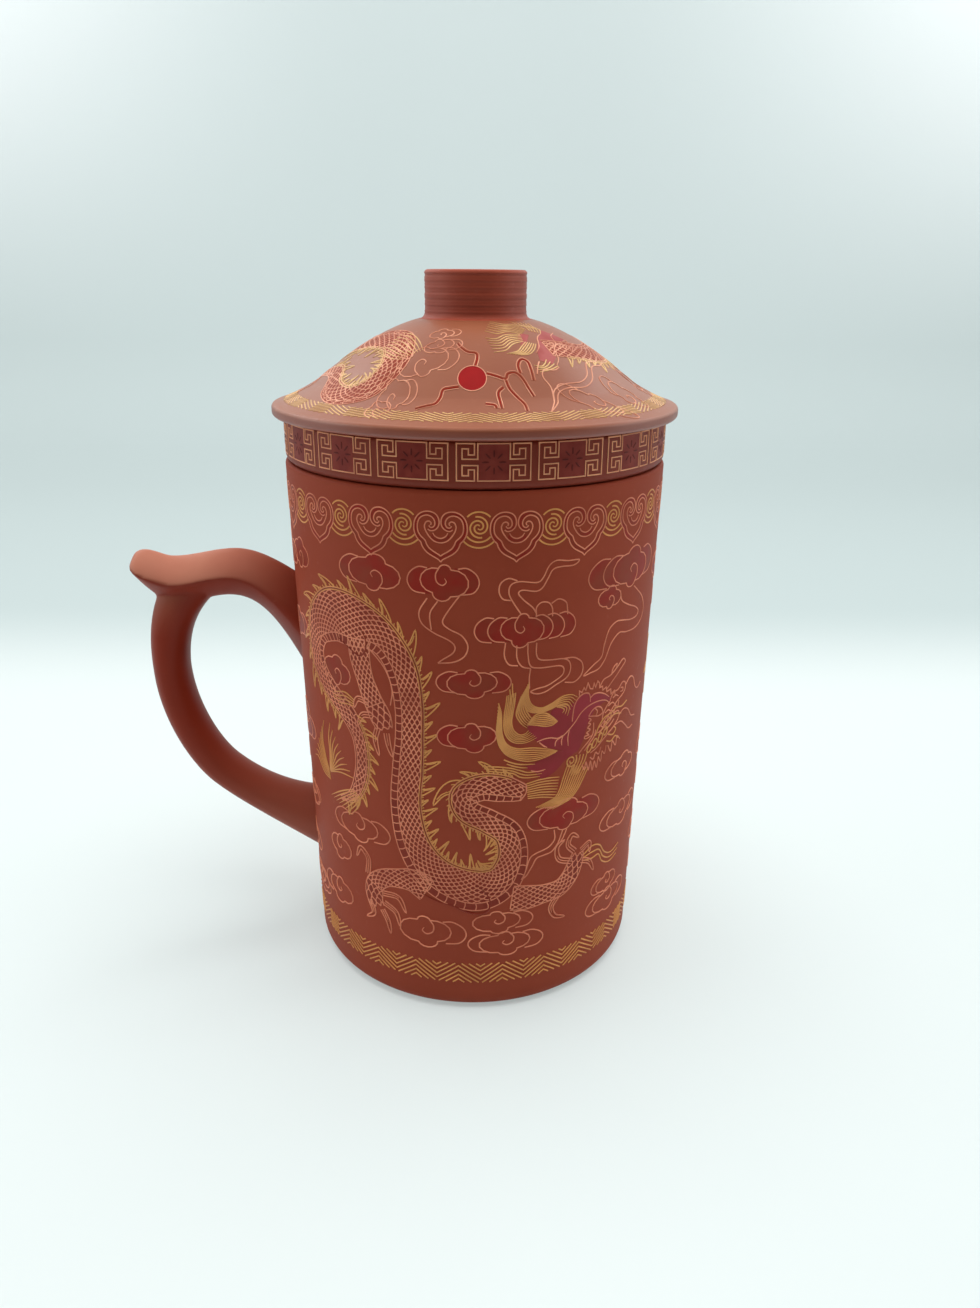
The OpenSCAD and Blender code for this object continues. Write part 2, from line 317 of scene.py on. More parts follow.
clays = dict(
    # colour, worn colour, drift, marks
    cup=clay("cup clay", (0.295, 0.047, 0.0205), (0.355, 0.066, 0.032), 0.45, 0.12, gloss=0.6, specular=0.12),
    # the handle's clay is darker than the cup's: painted shade of the loop, which gets little light from the
    # front; the arm carries the pale painted sheen
    handle=clay(
        "handle clay", (0.228, 0.025, 0.01), (0.29, 0.038, 0.017), 0.4, 0, gloss=0.42, specular=0.12,
        paintedSheen=0.9, paintedSheenTone=(0.5, 0.2, 0.13),
    ),
    # the collar's clay is darker than the cup's: painted shade under the lid's lip
    collar=clay("collar clay", (0.21, 0.03, 0.014), (0.27, 0.045, 0.023), 0.35, 0.15, specular=0.2),
    # the lid carries the painted sheen all over its dome
    lid=clay(
        "lid clay", (0.235, 0.04, 0.017), (0.3, 0.062, 0.03), 0.5, 0.1, gloss=0.4, specular=0.85,
        paintedSheen=0.26, paintedSheenTone=(0.42, 0.21, 0.1), sheenAllOver=1,
    ),
    knob=clay("knob clay", (0.33, 0.056, 0.027), (0.44, 0.11, 0.07), 0.4, 0.3, specular=0.35),
    raw=clay("raw clay", (0.24, 0.042, 0.022), (0.31, 0.064, 0.036), 0.6, 0.7, gloss=0.68, specular=0.3),
)


enamelLook = dict(detail=3, patchSpan=(0.36, 0.64), specular=0.15)


def enamel(name, color, deep, roughness, patch):
    # brushed enamel: its colour thins towards the deep tone in patches of the given size
    material, tree, shader = emptyMaterial(name)
    where = addNode(tree, "TexCoord").outputs["Object"]
    patches = noiseNode(tree, where, 1 / (patch * mm), enamelLook["detail"])
    share = rampNode(tree, patches, *enamelLook["patchSpan"])
    feed(tree, shader.inputs["Base Color"], blendNode(tree, share, (*color, 1), (*deep, 1)))
    shader.inputs["Roughness"].default_value = roughness
    shader.inputs["Specular IOR Level"].default_value = enamelLook["specular"]
    return material


enamels = {name: enamel(name + " enamel", *look) for name, look in {
    # colour, deep tone, roughness, and the patches' size
    "gold": ((0.74, 0.33, 0.1), (0.62, 0.265, 0.082), 0.4, 6),
    "pink": ((0.78, 0.27, 0.15), (0.6, 0.18, 0.1), 0.45, 6),
    # the lid's enamels are paler copies of the cup's: painted sheen of the light on the up-facing lid
    "lid gold": ((0.78, 0.5, 0.23), (0.6, 0.35, 0.15), 0.35, 5),
    "lid pink": ((0.78, 0.37, 0.24), (0.54, 0.2, 0.12), 0.35, 5),
    "red": ((0.3, 0.018, 0.009), (0.26, 0.036, 0.015), 0.5, 5),
    "scale": ((0.22, 0.022, 0.009), (0.26, 0.034, 0.014), 0.45, 4),
    "plum": ((0.31, 0.022, 0.03), (0.24, 0.018, 0.018), 0.4, 7),
    "fret": ((0.88, 0.4, 0.21), (0.7, 0.28, 0.15), 0.42, 6),
    "wash": ((0.205, 0.026, 0.018), (0.26, 0.04, 0.026), 0.5, 3),
    "blossom": ((0.105, 0.013, 0.01), (0.15, 0.02, 0.014), 0.5, 3),
    # paler lid copies again: painted sheen
    "lid scale": ((0.3, 0.055, 0.03), (0.26, 0.04, 0.02), 0.45, 4),
    "lid plum": ((0.42, 0.11, 0.1), (0.34, 0.06, 0.055), 0.4, 5),
    "pearl": ((0.34, 0.009, 0.009), (0.3, 0.009, 0.009), 0.4, 4),
}.items()}


def dress(piece, material, body, slot, *replaced):
    piece.data.materials.clear()
    piece.data.materials.append(material)
    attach(piece, body)
    if replaced:
        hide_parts(*replaced)
    return piece


wallTop, baseTop = (spanOf(node)[1] for node in ("cup_wall", "cup_base"))
cup = dict(
    rimRadius=wallTop[0], height=wallTop[2], baseThick=baseTop[2],
    draft=2.1, wall=4, footRound=3.2, innerFillet=4, rimRound=0.8, edgeStep=0.4,
)


def cupRadius(z):
    # the rim's radius less the draft, in proportion to the distance below the rim
    return cup["rimRadius"] - cup["draft"] * (1 - z / cup["height"])


def makeCup():
    c = cup
    inner = cupRadius(0) - c["wall"]
    innerBase = cupRadius(c["baseThick"]) - c["wall"]
    foot = (cupRadius(0) - c["footRound"], c["footRound"])
    rimIn = c["rimRadius"] - c["wall"]
    filletZ = c["baseThick"] + c["innerFillet"]
    fillet = (cupRadius(filletZ) - c["wall"] - c["innerFillet"], filletZ)
    rimZ = c["height"] - c["rimRound"]
    section = np.concatenate([
        [(inner, 0)], arc(foot, c["footRound"], -90, 0, 12),
        arc((c["rimRadius"] - c["rimRound"], rimZ), c["rimRound"], 0, 90),
        arc((rimIn + c["rimRound"], rimZ), c["rimRound"], 90, 180),
        arc(fillet, c["innerFillet"], 0, -90, 12), [(innerBase, c["baseThick"])],
    ])
    dress(turned("thrown_wall", section), clays["cup"], "cup", "cup_clay", "cup_wall")
    disc = [
        (0, 0), (inner - c["edgeStep"], 0), (inner, 0),
        (innerBase, c["baseThick"]), (innerBase - c["edgeStep"], c["baseThick"]), (0, c["baseThick"]),
    ]
    dress(turned("foot_disc", disc), clays["raw"], "cup", "foot_clay", "cup_base")


handleLow, handleHigh = spanOf("handle")
handle = dict(
    height=73, width=12.8, loopThick=8.1, sideStep=0.7, rootFlare=3, rootThick=1.3, tipNarrow=0.92,
    underTaper=0.6, underPower=0.5, roofPower=1.4, endShare=0.8, topSwell=0.35,
    sides=48, armSteps=24, loopSteps=32, nudge=0.01, voxel=0.45, relax=0.5, smoothing=7, depth=2,
    # edges of the arm and the loop's centre line, in hundredths of the reach and the height
    armTop=[
        [(-16, 87), (5.5, 95), (21, 100), (36, 100)], [(36, 100), (50, 100), (62, 97.5), (75, 97.5)],
        [(75, 97.5), (81, 97.5), (86, 99.5), (92, 99.5)], [(92, 99.5), (97, 99.5), (100, 98), (100, 95)],
    ],
    armLow=[
        [(-16, 50), (6, 71), (16.5, 85.5), (41, 85.5)], [(41, 85.5), (52, 85.5), (63, 83), (72, 83)],
        [(72, 83), (77, 83.3), (82, 83.6), (86, 85.2)], [(86, 85.2), (91, 87.2), (100, 91.5), (100, 95)],
    ],
    loopLine=[
        [(-16, 7), (14.5, 11), (40, 18.5), (56, 26)], [(56, 26), (69, 32.5), (83, 47), (83, 62)],
        [(83, 62), (83, 75), (76, 83.5), (62, 91)],
    ],
)


def handlePoint(p):
    # hundredths of the reach out from the rim, and of the height up from the lower root
    reach = -handleLow[0] - cup["rimRadius"]
    x = -(cup["rimRadius"] + reach * p[:, 0] / 100)
    return np.stack([x, handleHigh[2] - handle["height"] * (1 - p[:, 1] / 100)], -1)


def ringsAbout(middle, up, halfWidth, roof=False):
    # rings of a section: up times the sine above the middle, the half width times the cosine to the side;
    # a roof slopes straighter on top to an edge at each side, and draws in below to a flat underside
    h = handle
    a = (np.arange(h["sides"]) * tau / h["sides"])[None]
    s, c = np.sin(a), np.cos(a)
    if roof:
        power = np.where(s < 0, h["underPower"], h["roofPower"])
        c = np.sign(c) * np.abs(c) ** power * (1 - h["underTaper"] * np.maximum(0, -s))
        s = np.where(s < 0, s, np.abs(s) ** h["roofPower"])
    y = halfWidth[:, None] * c
    return np.stack([middle[:, :1] + up[:, :1] * s, y, middle[:, 1:] + up[:, 1:] * s], -1)


def armRings():
    # four spans from the root to the spur's tip; the first flares to the wall, and the last rounds off
    h = handle
    t = np.linspace(0, 1, h["armSteps"] + 1)[:-1]
    rings = []
    for j, (top, low) in enumerate(zip(h["armTop"], h["armLow"])):
        u = np.sin(t * math.pi / 2) if j == 3 else t
        a, b = handlePoint(bezier(top, u)), handlePoint(bezier(low, u))
        share = (1 + 0 * u, 1 + 0 * u, 1 - (1 - h["tipNarrow"]) * u, h["tipNarrow"] * np.sqrt(1 - u * u))[j]
        flare = h["rootFlare"] * (1 - u) ** 3 if j == 0 else 0
        rings.append(ringsAbout((a + b) / 2, (a - b) / 2, h["width"] / 2 * share + flare, True))
    return np.concatenate(rings)


def loopRings():
    # three spans from the lower root up into the arm; the first flares, and the last narrows and swells
    h = handle
    t = np.linspace(0, 1, h["loopSteps"] + 1)
    rings = []
    for j, line in enumerate(h["loopLine"]):
        u = t if j == 2 else t[:-1]
        middle = handlePoint(bezier(line, u))
        way = handlePoint(bezier(line, u + h["nudge"])) - handlePoint(bezier(line, u - h["nudge"]))
        flare = h["rootFlare"] * (1 - u) ** 3 if j == 0 else 0 * u
        share = 1 - (1 - h["endShare"]) * u if j == 2 else 1 + 0 * u
        swell = 1 + h["topSwell"] * u if j == 2 else 1
        half = (h["loopThick"] / 2 + h["rootThick"] * flare) * swell
        up = np.stack([way[:, 1], -way[:, 0]], -1) / np.linalg.norm(way, axis=1)[:, None] * half[:, None]
        rings.append(ringsAbout(middle, up, (h["width"] / 2 - h["sideStep"] + flare) * share))
    return np.concatenate(rings)


def makeHandle():
    # the arm and the loop grown into one skin, smoothed, and kept inside the cup's wall at both roots
    h = handle
    shells = [fillMesh("handle_" + str(k), *skinOver(r)) for k, r in enumerate((armRings(), loopRings()))]
    with bpy.context.temp_override(
        active_object=shells[0], object=shells[0], selected_objects=shells, selected_editable_objects=shells
    ):
        bpy.ops.object.join()
    rough = shells[0]
    remesh = rough.modifiers.new("grow", "REMESH")
    remesh.mode = "VOXEL"
    remesh.voxel_size = h["voxel"] * mm
    relax = rough.modifiers.new("relax", "SMOOTH")
    relax.factor = h["relax"]
    relax.iterations = h["smoothing"]
    mesh = bpy.data.meshes.new_from_object(rough.evaluated_get(bpy.context.evaluated_depsgraph_get()))
    bpy.data.objects.remove(rough)
    co = np.empty(len(mesh.vertices) * 3, np.float32)
    mesh.vertices.foreach_get("co", co)
    co = co.reshape(-1, 3).astype(float) / mm
    r = np.hypot(co[:, 0], co[:, 1])
    least = cupRadius(co[:, 2]) - h["depth"]
    co[:, :2] *= np.where(r < least, least / r, 1)[:, None]
    mesh.vertices.foreach_set("co", (co * mm).astype(np.float32).ravel())
    mesh.shade_smooth()
    mesh.update()
    dress(shown("ear_handle", mesh), clays["handle"], "cup", "handle_clay", "handle")


collarTop = spanOf("infuser_collar")[1]
basketLow, basketHigh = spanOf("infuser_basket")
infuser = dict(
    collarRadius=collarTop[0], seat=collarTop[2], foot=basketLow[2], mouth=basketHigh[0],
    collarRound=1.5, topRound=1.2, footRadius=32.12, wall=3, footRound=2,
)


def makeInfuser():
    i = infuser
    rim, inside = cup["height"], i["mouth"] - i["wall"]
    collar = np.concatenate([
        [(i["mouth"], rim)],
        arc((i["collarRadius"] - i["collarRound"], rim + i["collarRound"]), i["collarRound"], -90, 0),
        arc((i["collarRadius"] - i["topRound"], i["seat"] - i["topRound"]), i["topRound"], 0, 90),
        [(i["mouth"], i["seat"])],
    ])
    dress(turned("banded_collar", collar), clays["collar"], "infuser", "collar_clay", "infuser_collar")
    basket = np.concatenate([
        [(i["footRadius"] - i["wall"], i["foot"])],
        arc((i["footRadius"] - i["footRound"], i["foot"] + i["footRound"]), i["footRound"], -90, 0),
        [(i["mouth"], rim), (i["mouth"], i["seat"]), (inside, i["seat"]), (inside, rim)],
    ])
    dress(turned("hanging_basket", basket), clays["raw"], "infuser", "basket_clay", "infuser_basket")
    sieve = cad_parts["infuser_floor"]
    sieve.data.materials.clear()
    sieve.data.materials.append(clays["raw"])


domeLow, domeHigh = spanOf("lid_dome")
flangeLow, flangeHigh = spanOf("lid_flange")
lid = dict(
    radius=domeHigh[0], crown=domeHigh[2], seat=domeLow[2], lip=2.3, shoulderIn=9.1,
    shoulderRise=3.9, thick=4.5,
    # where the crown's and the flare's cubics head from each end, in shares of their width and drop
    crownPull=((0.38, -0.17), (-0.27, 0.38)), flarePull=((0.22, -0.33), (-0.32, 0.22)), lineSteps=40,
    hollowPull=(0.5, 0.62), flange=flangeHigh[0], flangeFoot=flangeLow[2], flangeWall=3, edgeStep=0.4,
    knobTop=spanOf("lid_knob")[1][2], knobRadius=10.4, knobFillet=1.2, knobRound=0.7, knobDish=1, knobRim=2.6,
    dishIn=(1.4, 1.8, 3.4), knobSteps=40,
    # the tool leaves shallow grooves, a few waves added together: depth, pace, start
    grooves=((0.035, 4.1, 0), (0.025, 9.7, 1), (0.02, 2.3, 2)), grooveIn=0.06,
)


def domeLine():
    # the crown's cubic down to the shoulder, then the flare's cubic out to the lip
    d = lid
    lipZ = d["seat"] + d["lip"]
    crown = np.array([d["knobRadius"] + d["knobFillet"], d["crown"]])
    shoulder = np.array([d["radius"] - d["shoulderIn"], lipZ + d["shoulderRise"]])
    end = np.array([d["radius"] - d["lip"] / 3, lipZ])
    t = np.linspace(0, 1, d["lineSteps"] + 1)
    size = np.array([shoulder[0] - crown[0], crown[1] - shoulder[1]])
    top = bezier([crown, crown + size * d["crownPull"][0], shoulder + size * d["crownPull"][1], shoulder], t)
    size = np.array([d["shoulderIn"], d["shoulderRise"]])
    flare = bezier([shoulder, shoulder + size * d["flarePull"][0], end + size * d["flarePull"][1], end], t)
    return np.concatenate([top, flare[1:]])


domeProfile = domeLine()


def makeLid():
    d = lid
    seat, flange, lipRound = d["seat"], d["flange"], d["lip"] / 3
    roof = d["crown"] - d["thick"]
    cavity = flange - d["flangeWall"]
    across, up = d["hollowPull"]
    hollow = bezier(
        [(0, roof), (across * cavity, roof), (cavity, seat + up * (roof - seat)), (cavity, seat)],
        np.linspace(0, 1, 25)
    )
    section = np.concatenate([
        hollow, arc((d["radius"] - lipRound, seat + lipRound), lipRound, -90, 0, 6),
        arc((d["radius"] - lipRound, seat + d["lip"] - lipRound), lipRound, 0, 90, 6),
        domeProfile[-2::-1], [(0, d["crown"])],
    ])
    dress(turned("ogee_dome", section), clays["lid"], "lid", "lid_clay", "lid_dome")
    foot, step = d["flangeFoot"], d["edgeStep"]
    ring = [
        (cavity, foot + step), (cavity + step, foot), (flange - step, foot), (flange, foot + step),
        (flange, seat), (cavity, seat),
    ]
    dress(turned("locating_ring", ring), clays["raw"], "lid", "flange_clay", "lid_flange")
    crown, top, radius, fillet = d["crown"], d["knobTop"], d["knobRadius"], d["knobFillet"]
    z = np.linspace(crown + fillet, top - d["knobRound"], d["knobSteps"])
    groove = sum(depth * np.sin(z * pace + start) for depth, pace, start in d["grooves"])
    rim = radius - d["knobRim"]
    near, middle, far = (rim - inwards for inwards in d["dishIn"])
    low = top - d["knobDish"]
    knob = np.concatenate([
        [(0, crown), (radius + fillet, crown)], arc((radius + fillet, crown + fillet), fillet, 270, 190, 8),
        np.stack([radius - d["grooveIn"] + groove, z], -1),
        arc((radius - d["knobRound"], top - d["knobRound"]), d["knobRound"], 5, 90, 6),
        bezier([(rim, top), (near, top), (middle, low), (far, low)], np.linspace(0, 1, 13)), [(0, low)],
    ])
    dress(turned("turned_knob", knob, 192), clays["knob"], "lid", "knob_clay", "lid_knob")


def wrapped(p, h, around, radius):
    # u runs to the right from the front at the radius it is measured on, z up; h stands off the surface
    a = p[:, 0] / around
    r = radius + h
    return np.stack([r * np.sin(a), -r * np.cos(a), p[:, 1]], -1)


def onCup(p, h):
    return wrapped(p, h, cup["rimRadius"], cupRadius(p[:, 1]))


def onCollar(p, h):
    return wrapped(p, h, infuser["collarRadius"], infuser["collarRadius"])


def onLid(p, h):
    # the drawing is seen from above: x to the right, y to the front; h stands off along the dome's normal
    r = np.hypot(p[:, 0], p[:, 1])
    z = np.interp(r, domeProfile[:, 0], domeProfile[:, 1])
    slope = np.interp(r, domeProfile[:, 0], np.gradient(domeProfile[:, 1], domeProfile[:, 0]))
    lean = 1 / np.hypot(slope, 1)
    k = 1 - slope * lean * h / np.maximum(r, 1)
    return np.stack([p[:, 0] * k, -p[:, 1] * k, z + lean * h], -1)


lineShape = dict(sunk=0.06, proud=0.085, flat=0.55, mitreMost=1.5)
fillShape = dict(sunk=0.06, proud=0.03, edge=0.985, rings=6, samples=48)


def subdivided(points, longest=0.8):
    # straight spans split evenly, so that none is longer than the given length
    p = np.asarray(points, float)
    parts = np.maximum(1, np.ceil(np.linalg.norm(np.diff(p, axis=0), axis=1) / longest)).astype(int)
    where = np.concatenate([k + np.arange(n) / n for k, n in enumerate(parts)] + [[len(parts)]])
    return np.stack([np.interp(where, np.arange(len(p)), p[:, k]) for k in range(p.shape[1])], -1)


def lengthsAlong(points):
    return np.concatenate([[0], np.cumsum(np.linalg.norm(np.diff(points, axis=0), axis=1))])


def stroke(points, width, ends=(1, 1), steps=6):
    # a curve through the points with its half width; each end thins to its share over a third of the length
    p = curveThrough(points, steps) if steps else subdivided(points)
    s = np.linspace(0, 1, len(p))
    w = np.minimum(1, np.minimum(ends[0] + (1 - ends[0]) * 3 * s, ends[1] + (1 - ends[1]) * 3 * (1 - s)))
    return np.column_stack([p, w * width / 2])


def enamelLines(name, strokes, place, lift=0):
    # every stroke is a low bead: four corners carried along its path, square to it and mitred at bends
    path = np.concatenate(strokes)
    p, w = path[:, :2], path[:, 2]
    ends = np.cumsum([len(s) for s in strokes])
    joined = np.ones(len(p) - 1, bool)
    joined[ends[:-1] - 1] = False
    way = np.diff(p, axis=0)
    way /= np.maximum(np.linalg.norm(way, axis=1), 1e-9)[:, None]
    before, after = np.zeros_like(p), np.zeros_like(p)
    before[1:][joined] = way[joined]
    after[:-1][joined] = way[joined]
    along = before + after
    length = np.linalg.norm(along, axis=1)
    along /= np.maximum(length, 1e-9)[:, None]
    alone = (np.abs(before).sum(1) == 0) | (np.abs(after).sum(1) == 0)
    mitre = np.where(alone, 1, np.minimum(2 / np.maximum(length, 0.5), lineShape["mitreMost"]))
    side = np.stack([along[:, 1], -along[:, 0]], -1) * (w * mitre)[:, None]
    flat, sunk, proud = lineShape["flat"], lineShape["sunk"], lineShape["proud"]
    corners = ((-1, -sunk), (-flat, proud), (flat, proud), (1, -sunk))
    rings = np.stack([place(p + side * k, np.full(len(p), h + lift)) for k, h in corners], 1)
    i = np.flatnonzero(joined)[:, None] * 4
    k = np.arange(4)[None]
    quads = np.stack([i + k, i + (k + 1) % 4, i + 4 + (k + 1) % 4, i + 4 + k], -1).reshape(-1, 4)
    first = np.concatenate([[0], ends[:-1]])[:, None] * 4
    last = (ends - 1)[:, None] * 4
    caps = np.concatenate([first + [[3, 2, 1, 0]], last + [[0, 1, 2, 3]]])
    return fillMesh(name, rings.reshape(-1, 3), np.concatenate([quads, caps]))


def enamelFills(name, outlines, place):
    # each outline is shrunk in rings to its middle, lifted off the surface, and closed by a sunk underside
    count, samples, proud, sunk = (fillShape[k] for k in ("rings", "samples", "proud", "sunk"))
    shares = np.concatenate([np.arange(1, count + 1) / count, [fillShape["edge"], 0.5]])[:, None, None]
    lifts = np.repeat([proud] * count + [-sunk] * 2, samples)
    skins = []
    for outline in outlines:
        q = np.asarray(outline, float)
        if (q[:-1, 0] * q[1:, 1] - q[1:, 0] * q[:-1, 1]).sum() < 0:
            q = q[::-1]
        s = lengthsAlong(q)
        even = np.linspace(0, s[-1], samples, endpoint=False)
        ring = np.stack([np.interp(even, s, q[:, k]) for k in (0, 1)], -1)
        middle = ring.mean(0, keepdims=True)
        flat = middle + (ring - middle) * shares
        poles = np.concatenate([place(middle, np.full(1, h)) for h in (proud, -sunk)])
        skins.append(skinOver(place(flat.reshape(-1, 2), lifts).reshape(-1, samples, 3), poles))
    return joinedSkins(name, skins)


def enamelBands(name, bands, place, across=7):
    # a band lies between two edges of equal count: even steps across its top, and back along a sunk underside
    share = np.concatenate([np.linspace(0, 1, across), [1, 0.5, 0]])[None, :, None]
    lifts = np.array([fillShape["proud"]] * across + [-fillShape["sunk"]] * 3)
    skins = []
    for left, right in bands:
        flat = left[:, None] * (1 - share) + right[:, None] * share
        rings = place(flat.reshape(-1, 2), np.tile(lifts, len(left))).reshape(len(left), -1, 3)
        skins.append(skinOver(rings))
    return joinedSkins(name, skins)


def layEnamel(body, place, *layers):
    # each layer: its maker, name, strokes or fills, enamel and slot, and what else its maker takes
    for make, name, items, look, slot, *more in layers:
        dress(make(name, items, place, *more), enamels[look], body, slot)


# The drawing: strokes and fills in flat coordinates, gathered by colour before they are laid on a surface.

widths = dict(
    outline=0.34, scale=0.34, gold=0.35, hair=0.36, border=0.33, spiral=0.396, zigzag=0.35, fret=0.31,
    petal=0.42, muscle=0.55, tendril=0.42, tendrilEdge=0.26,
)


sheetKinds = ("gold", "pink", "net", "muscle", "red", "plumBands", "redBands", "scaleBands")


def newSheet():
    return {kind: [] for kind in sheetKinds}


def ink(sheet, kind, lines, width, ends=(1, 1), steps=6):
    # every line goes on the sheet as a stroke of the given kind
    sheet[kind] += [stroke(line, width, ends, steps) for line in lines]


cloudShape = dict(
    notches=[(-0.40, 0.74), (0.18, 0.80), (0.50, -0.62), (-0.38, -0.82)], bulges=[0.44, 0.52, 0.42, 0.55],
    hook=[(0.18, 0.80), (0.33, 0.44), (0.28, 0.02), (0.02, -0.17), (-0.18, 0.02), (-0.10, 0.25)],
    lobe=[(0.74, 0.80), (1.18, 0.84), (1.62, 0.46), (1.74, -0.08), (1.46, -0.58), (0.86, -0.70)],
    lobeStep=0.68,
)


def drawCloud(sheet, at, size, flip, right, left, filled):
    # a body of four scallops with a hook inside, and half-hidden lobes at its sides
    c = cloudShape
    scale = (size[0] * flip[0], size[1] * flip[1])
    body = placed(scallops(c["notches"], c["bulges"]), at, scale)
    ink(sheet, "pink", [body], widths["outline"], steps=0)
    ink(sheet, "pink", [placed(c["hook"], at, scale)], widths["outline"], (1, 0.5))
    if filled:
        sheet["red"].append(body)
    for side, count in ((1, right), (-1, left)):
        for k in range(count):
            lobe = placed(np.array(c["lobe"]) + (c["lobeStep"] * k, 0), at, (size[0] * side, size[1]))
            ink(sheet, "pink", [lobe], widths["outline"])
            if filled:
                edge = curveThrough(lobe, 4)
                inner = np.array(at) + (edge - at) * (0.6, 1)
                sheet["red"].append(np.concatenate([edge, inner[::-1]]))


heart = dict(
    count=18, shift=0.68, base=102.6,
    outer=[
        (0, 0), (0.4, 0.45), (1.1, 0.85), (2.25, 1.5), (3, 2.2), (3.45, 2.95), (3.65, 3.55), (4.1, 4),
        (4.6, 4.75), (4.9, 5.8), (4.85, 7), (4.5, 8), (3.85, 8.75), (3, 9.2), (2, 9.3), (1, 9), (0.4, 8.35),
        (0.18, 7.45), (0.35, 6.6), (0.95, 5.95), (1.75, 5.75), (2.3, 6.05),
    ],
    inner=[
        (0, 1.1), (0.4, 1.4), (1, 1.75), (1.95, 2.4), (2.5, 3.1), (2.8, 3.85), (3.05, 4.15), (3.6, 4.65),
        (4.1, 5.4), (4.25, 6.3), (4.15, 7.2), (3.8, 7.95), (3.2, 8.4), (2.4, 8.6), (1.65, 8.4), (1.15, 7.9),
        (0.95, 7.3), (1.02, 6.8), (1.3, 6.45), (1.7, 6.35), (1.95, 6.5), (2.05, 6.75),
    ],
    hook=[(1.75, 6.8), (1.65, 7.2), (2.05, 7.5), (2.6, 7.3), (2.9, 6.6), (2.75, 5.85), (2.35, 5.1),
          (1.8, 4.4), (1, 3.8), (0, 3.6)],
    # the edges of the bowl's dark band
    bowl=[(-1.8, 4.4), (-1, 3.8), (0, 3.6), (1, 3.8), (1.8, 4.4)],
    smile=[(-1.4, 5.4), (-0.95, 4.75), (0, 4.4), (0.95, 4.75), (1.4, 5.4)],
    # the gap's spiral of two arms, and arcs about it: radius, and the angles that each runs between
    armTurns=1.3, armRadius=2, armStart=0.12, spiralHeight=6.6,
    arcs=((2.8, 42, 138), (2.75, -141, -39), (3.8, -136, -44)),
)


def drawHeartBorder(sheet):
    # hearts of two curling bands in an even ring, with a gold spiral and its arcs in each gap
    h = heart
    pitch = tau * cup["rimRadius"] / h["count"]
    outer, inner = (curveThrough(h[k], 3) for k in ("outer", "inner"))
    bowl, smile = (curveThrough(h[k], 4) for k in ("bowl", "smile"))
    hook = np.concatenate([h["hook"], mirrored(h["hook"])[-2::-1]])
    share = np.linspace(h["armStart"], 1, 36)
    a = share * tau * h["armTurns"]
    arm = np.stack([np.cos(a), np.sin(a)], -1) * (h["armRadius"] * share)[:, None]
    for k in range(h["count"]):
        at = np.array((h["shift"] + pitch * (k + 0.5), h["base"]))
        edges = [side + at for edge in (outer, inner) for side in (edge, mirrored(edge))]
        ink(sheet, "pink", edges, widths["border"], steps=0)
        sheet["redBands"] += [(edges[2], edges[0]), (edges[1], edges[3]), (bowl + at, smile + at)]
        ink(sheet, "pink", [hook + at], widths["border"])
        ink(sheet, "pink", [smile + at], widths["border"], (0.7, 0.7), 0)
        middle = at + (pitch / 2, h["spiralHeight"])
        ink(sheet, "gold", [arm * turn + middle for turn in (1, -1)], widths["spiral"], (0.7, 1), 0)
        arcs = [arc(middle, radius, start, end, 16) for radius, start, end in h["arcs"]]
        ink(sheet, "gold", arcs, widths["spiral"], steps=0)


zigzag = dict(
    low=7.3, high=12.3, count=25, rise=3.5, pitch=1.15, firstPeak=8.2, peaks=4, valleys=3, shift=-3.5,
)


def zigzagRing(count, shift=0):
    # nested zigzags cut off at the band's edges: whole peaks, and the valleys of those that peak above it,
    # each repeated round the cup
    z = zigzag
    period = tau * cup["rimRadius"] / count
    half, slope = period / 2, 2 * z["rise"] / period
    paths = []
    for k in range(z["peaks"] + z["valleys"]):
        peak = z["firstPeak"] + k * z["pitch"]
        if k < z["peaks"]:
            reach = min(half, (peak - z["low"]) / slope)
            paths.append([(-reach, peak - slope * reach), (0, peak), (reach, peak - slope * reach)])
        else:
            valley = peak - z["rise"]
            reach = (z["high"] - valley) / slope
            paths.append([(half - reach, z["high"]), (half, valley), (half + reach, z["high"])])
    return [np.array(path) + (shift + k * period, 0) for path in paths for k in range(count)]


def limb(points, step=0.3):
    # centre line and half width at even steps of length, with the normal to its left
    fine = curveThrough(points, 14)
    s = lengthsAlong(fine[:, :2])
    even = np.linspace(0, s[-1], int(s[-1] / step) + 2)
    line = np.stack([np.interp(even, s, fine[:, k]) for k in range(3)], -1)
    way = np.gradient(line[:, :2], axis=0)
    way /= np.linalg.norm(way, axis=1)[:, None]
    normal = np.stack([-way[:, 1], way[:, 0]], -1)
    return dict(s=even, line=line[:, :2], half=line[:, 2], normal=normal, length=s[-1])


def onLimb(b, s, t):
    # s along the centre line, t to its left; a point past an end goes straight on
    at = np.stack([np.interp(s, b["s"], b["line"][:, k]) for k in (0, 1)], -1)
    normal = np.stack([np.interp(s, b["s"], b["normal"][:, k]) for k in (0, 1)], -1)
    normal /= np.linalg.norm(normal, axis=-1, keepdims=True)
    over = s - np.clip(s, 0, b["length"])
    return at + normal * t[..., None] + np.stack([normal[..., 1], -normal[..., 0]], -1) * over[..., None]


def halfAt(b, s):
    return np.interp(s, b["s"], b["half"])


# Lines along a limb: each gives its distance to the left of the centre line for a half width.

def leftEdge(half):
    return half


def rightEdge(half):
    return -half


belly = dict(widest=1.8, share=0.46, plate=1.75, bend=0.12)


def plateWidth(half):
    return np.minimum(belly["widest"], belly["share"] * half)


def bellyLine(half):
    return plateWidth(half) - half


def groundOf(b, inside=slice(None)):
    # both edges of a limb, between which its ground colour lies
    edge = b["normal"] * b["half"][:, None]
    return (b["line"] + edge)[inside], (b["line"] - edge)[inside]


def drawEdges(sheet, b, *sides):
    paths = [onLimb(b, b["s"][::2], side(b["half"][::2])) for side in sides]
    ink(sheet, "pink", paths, widths["outline"], steps=0)


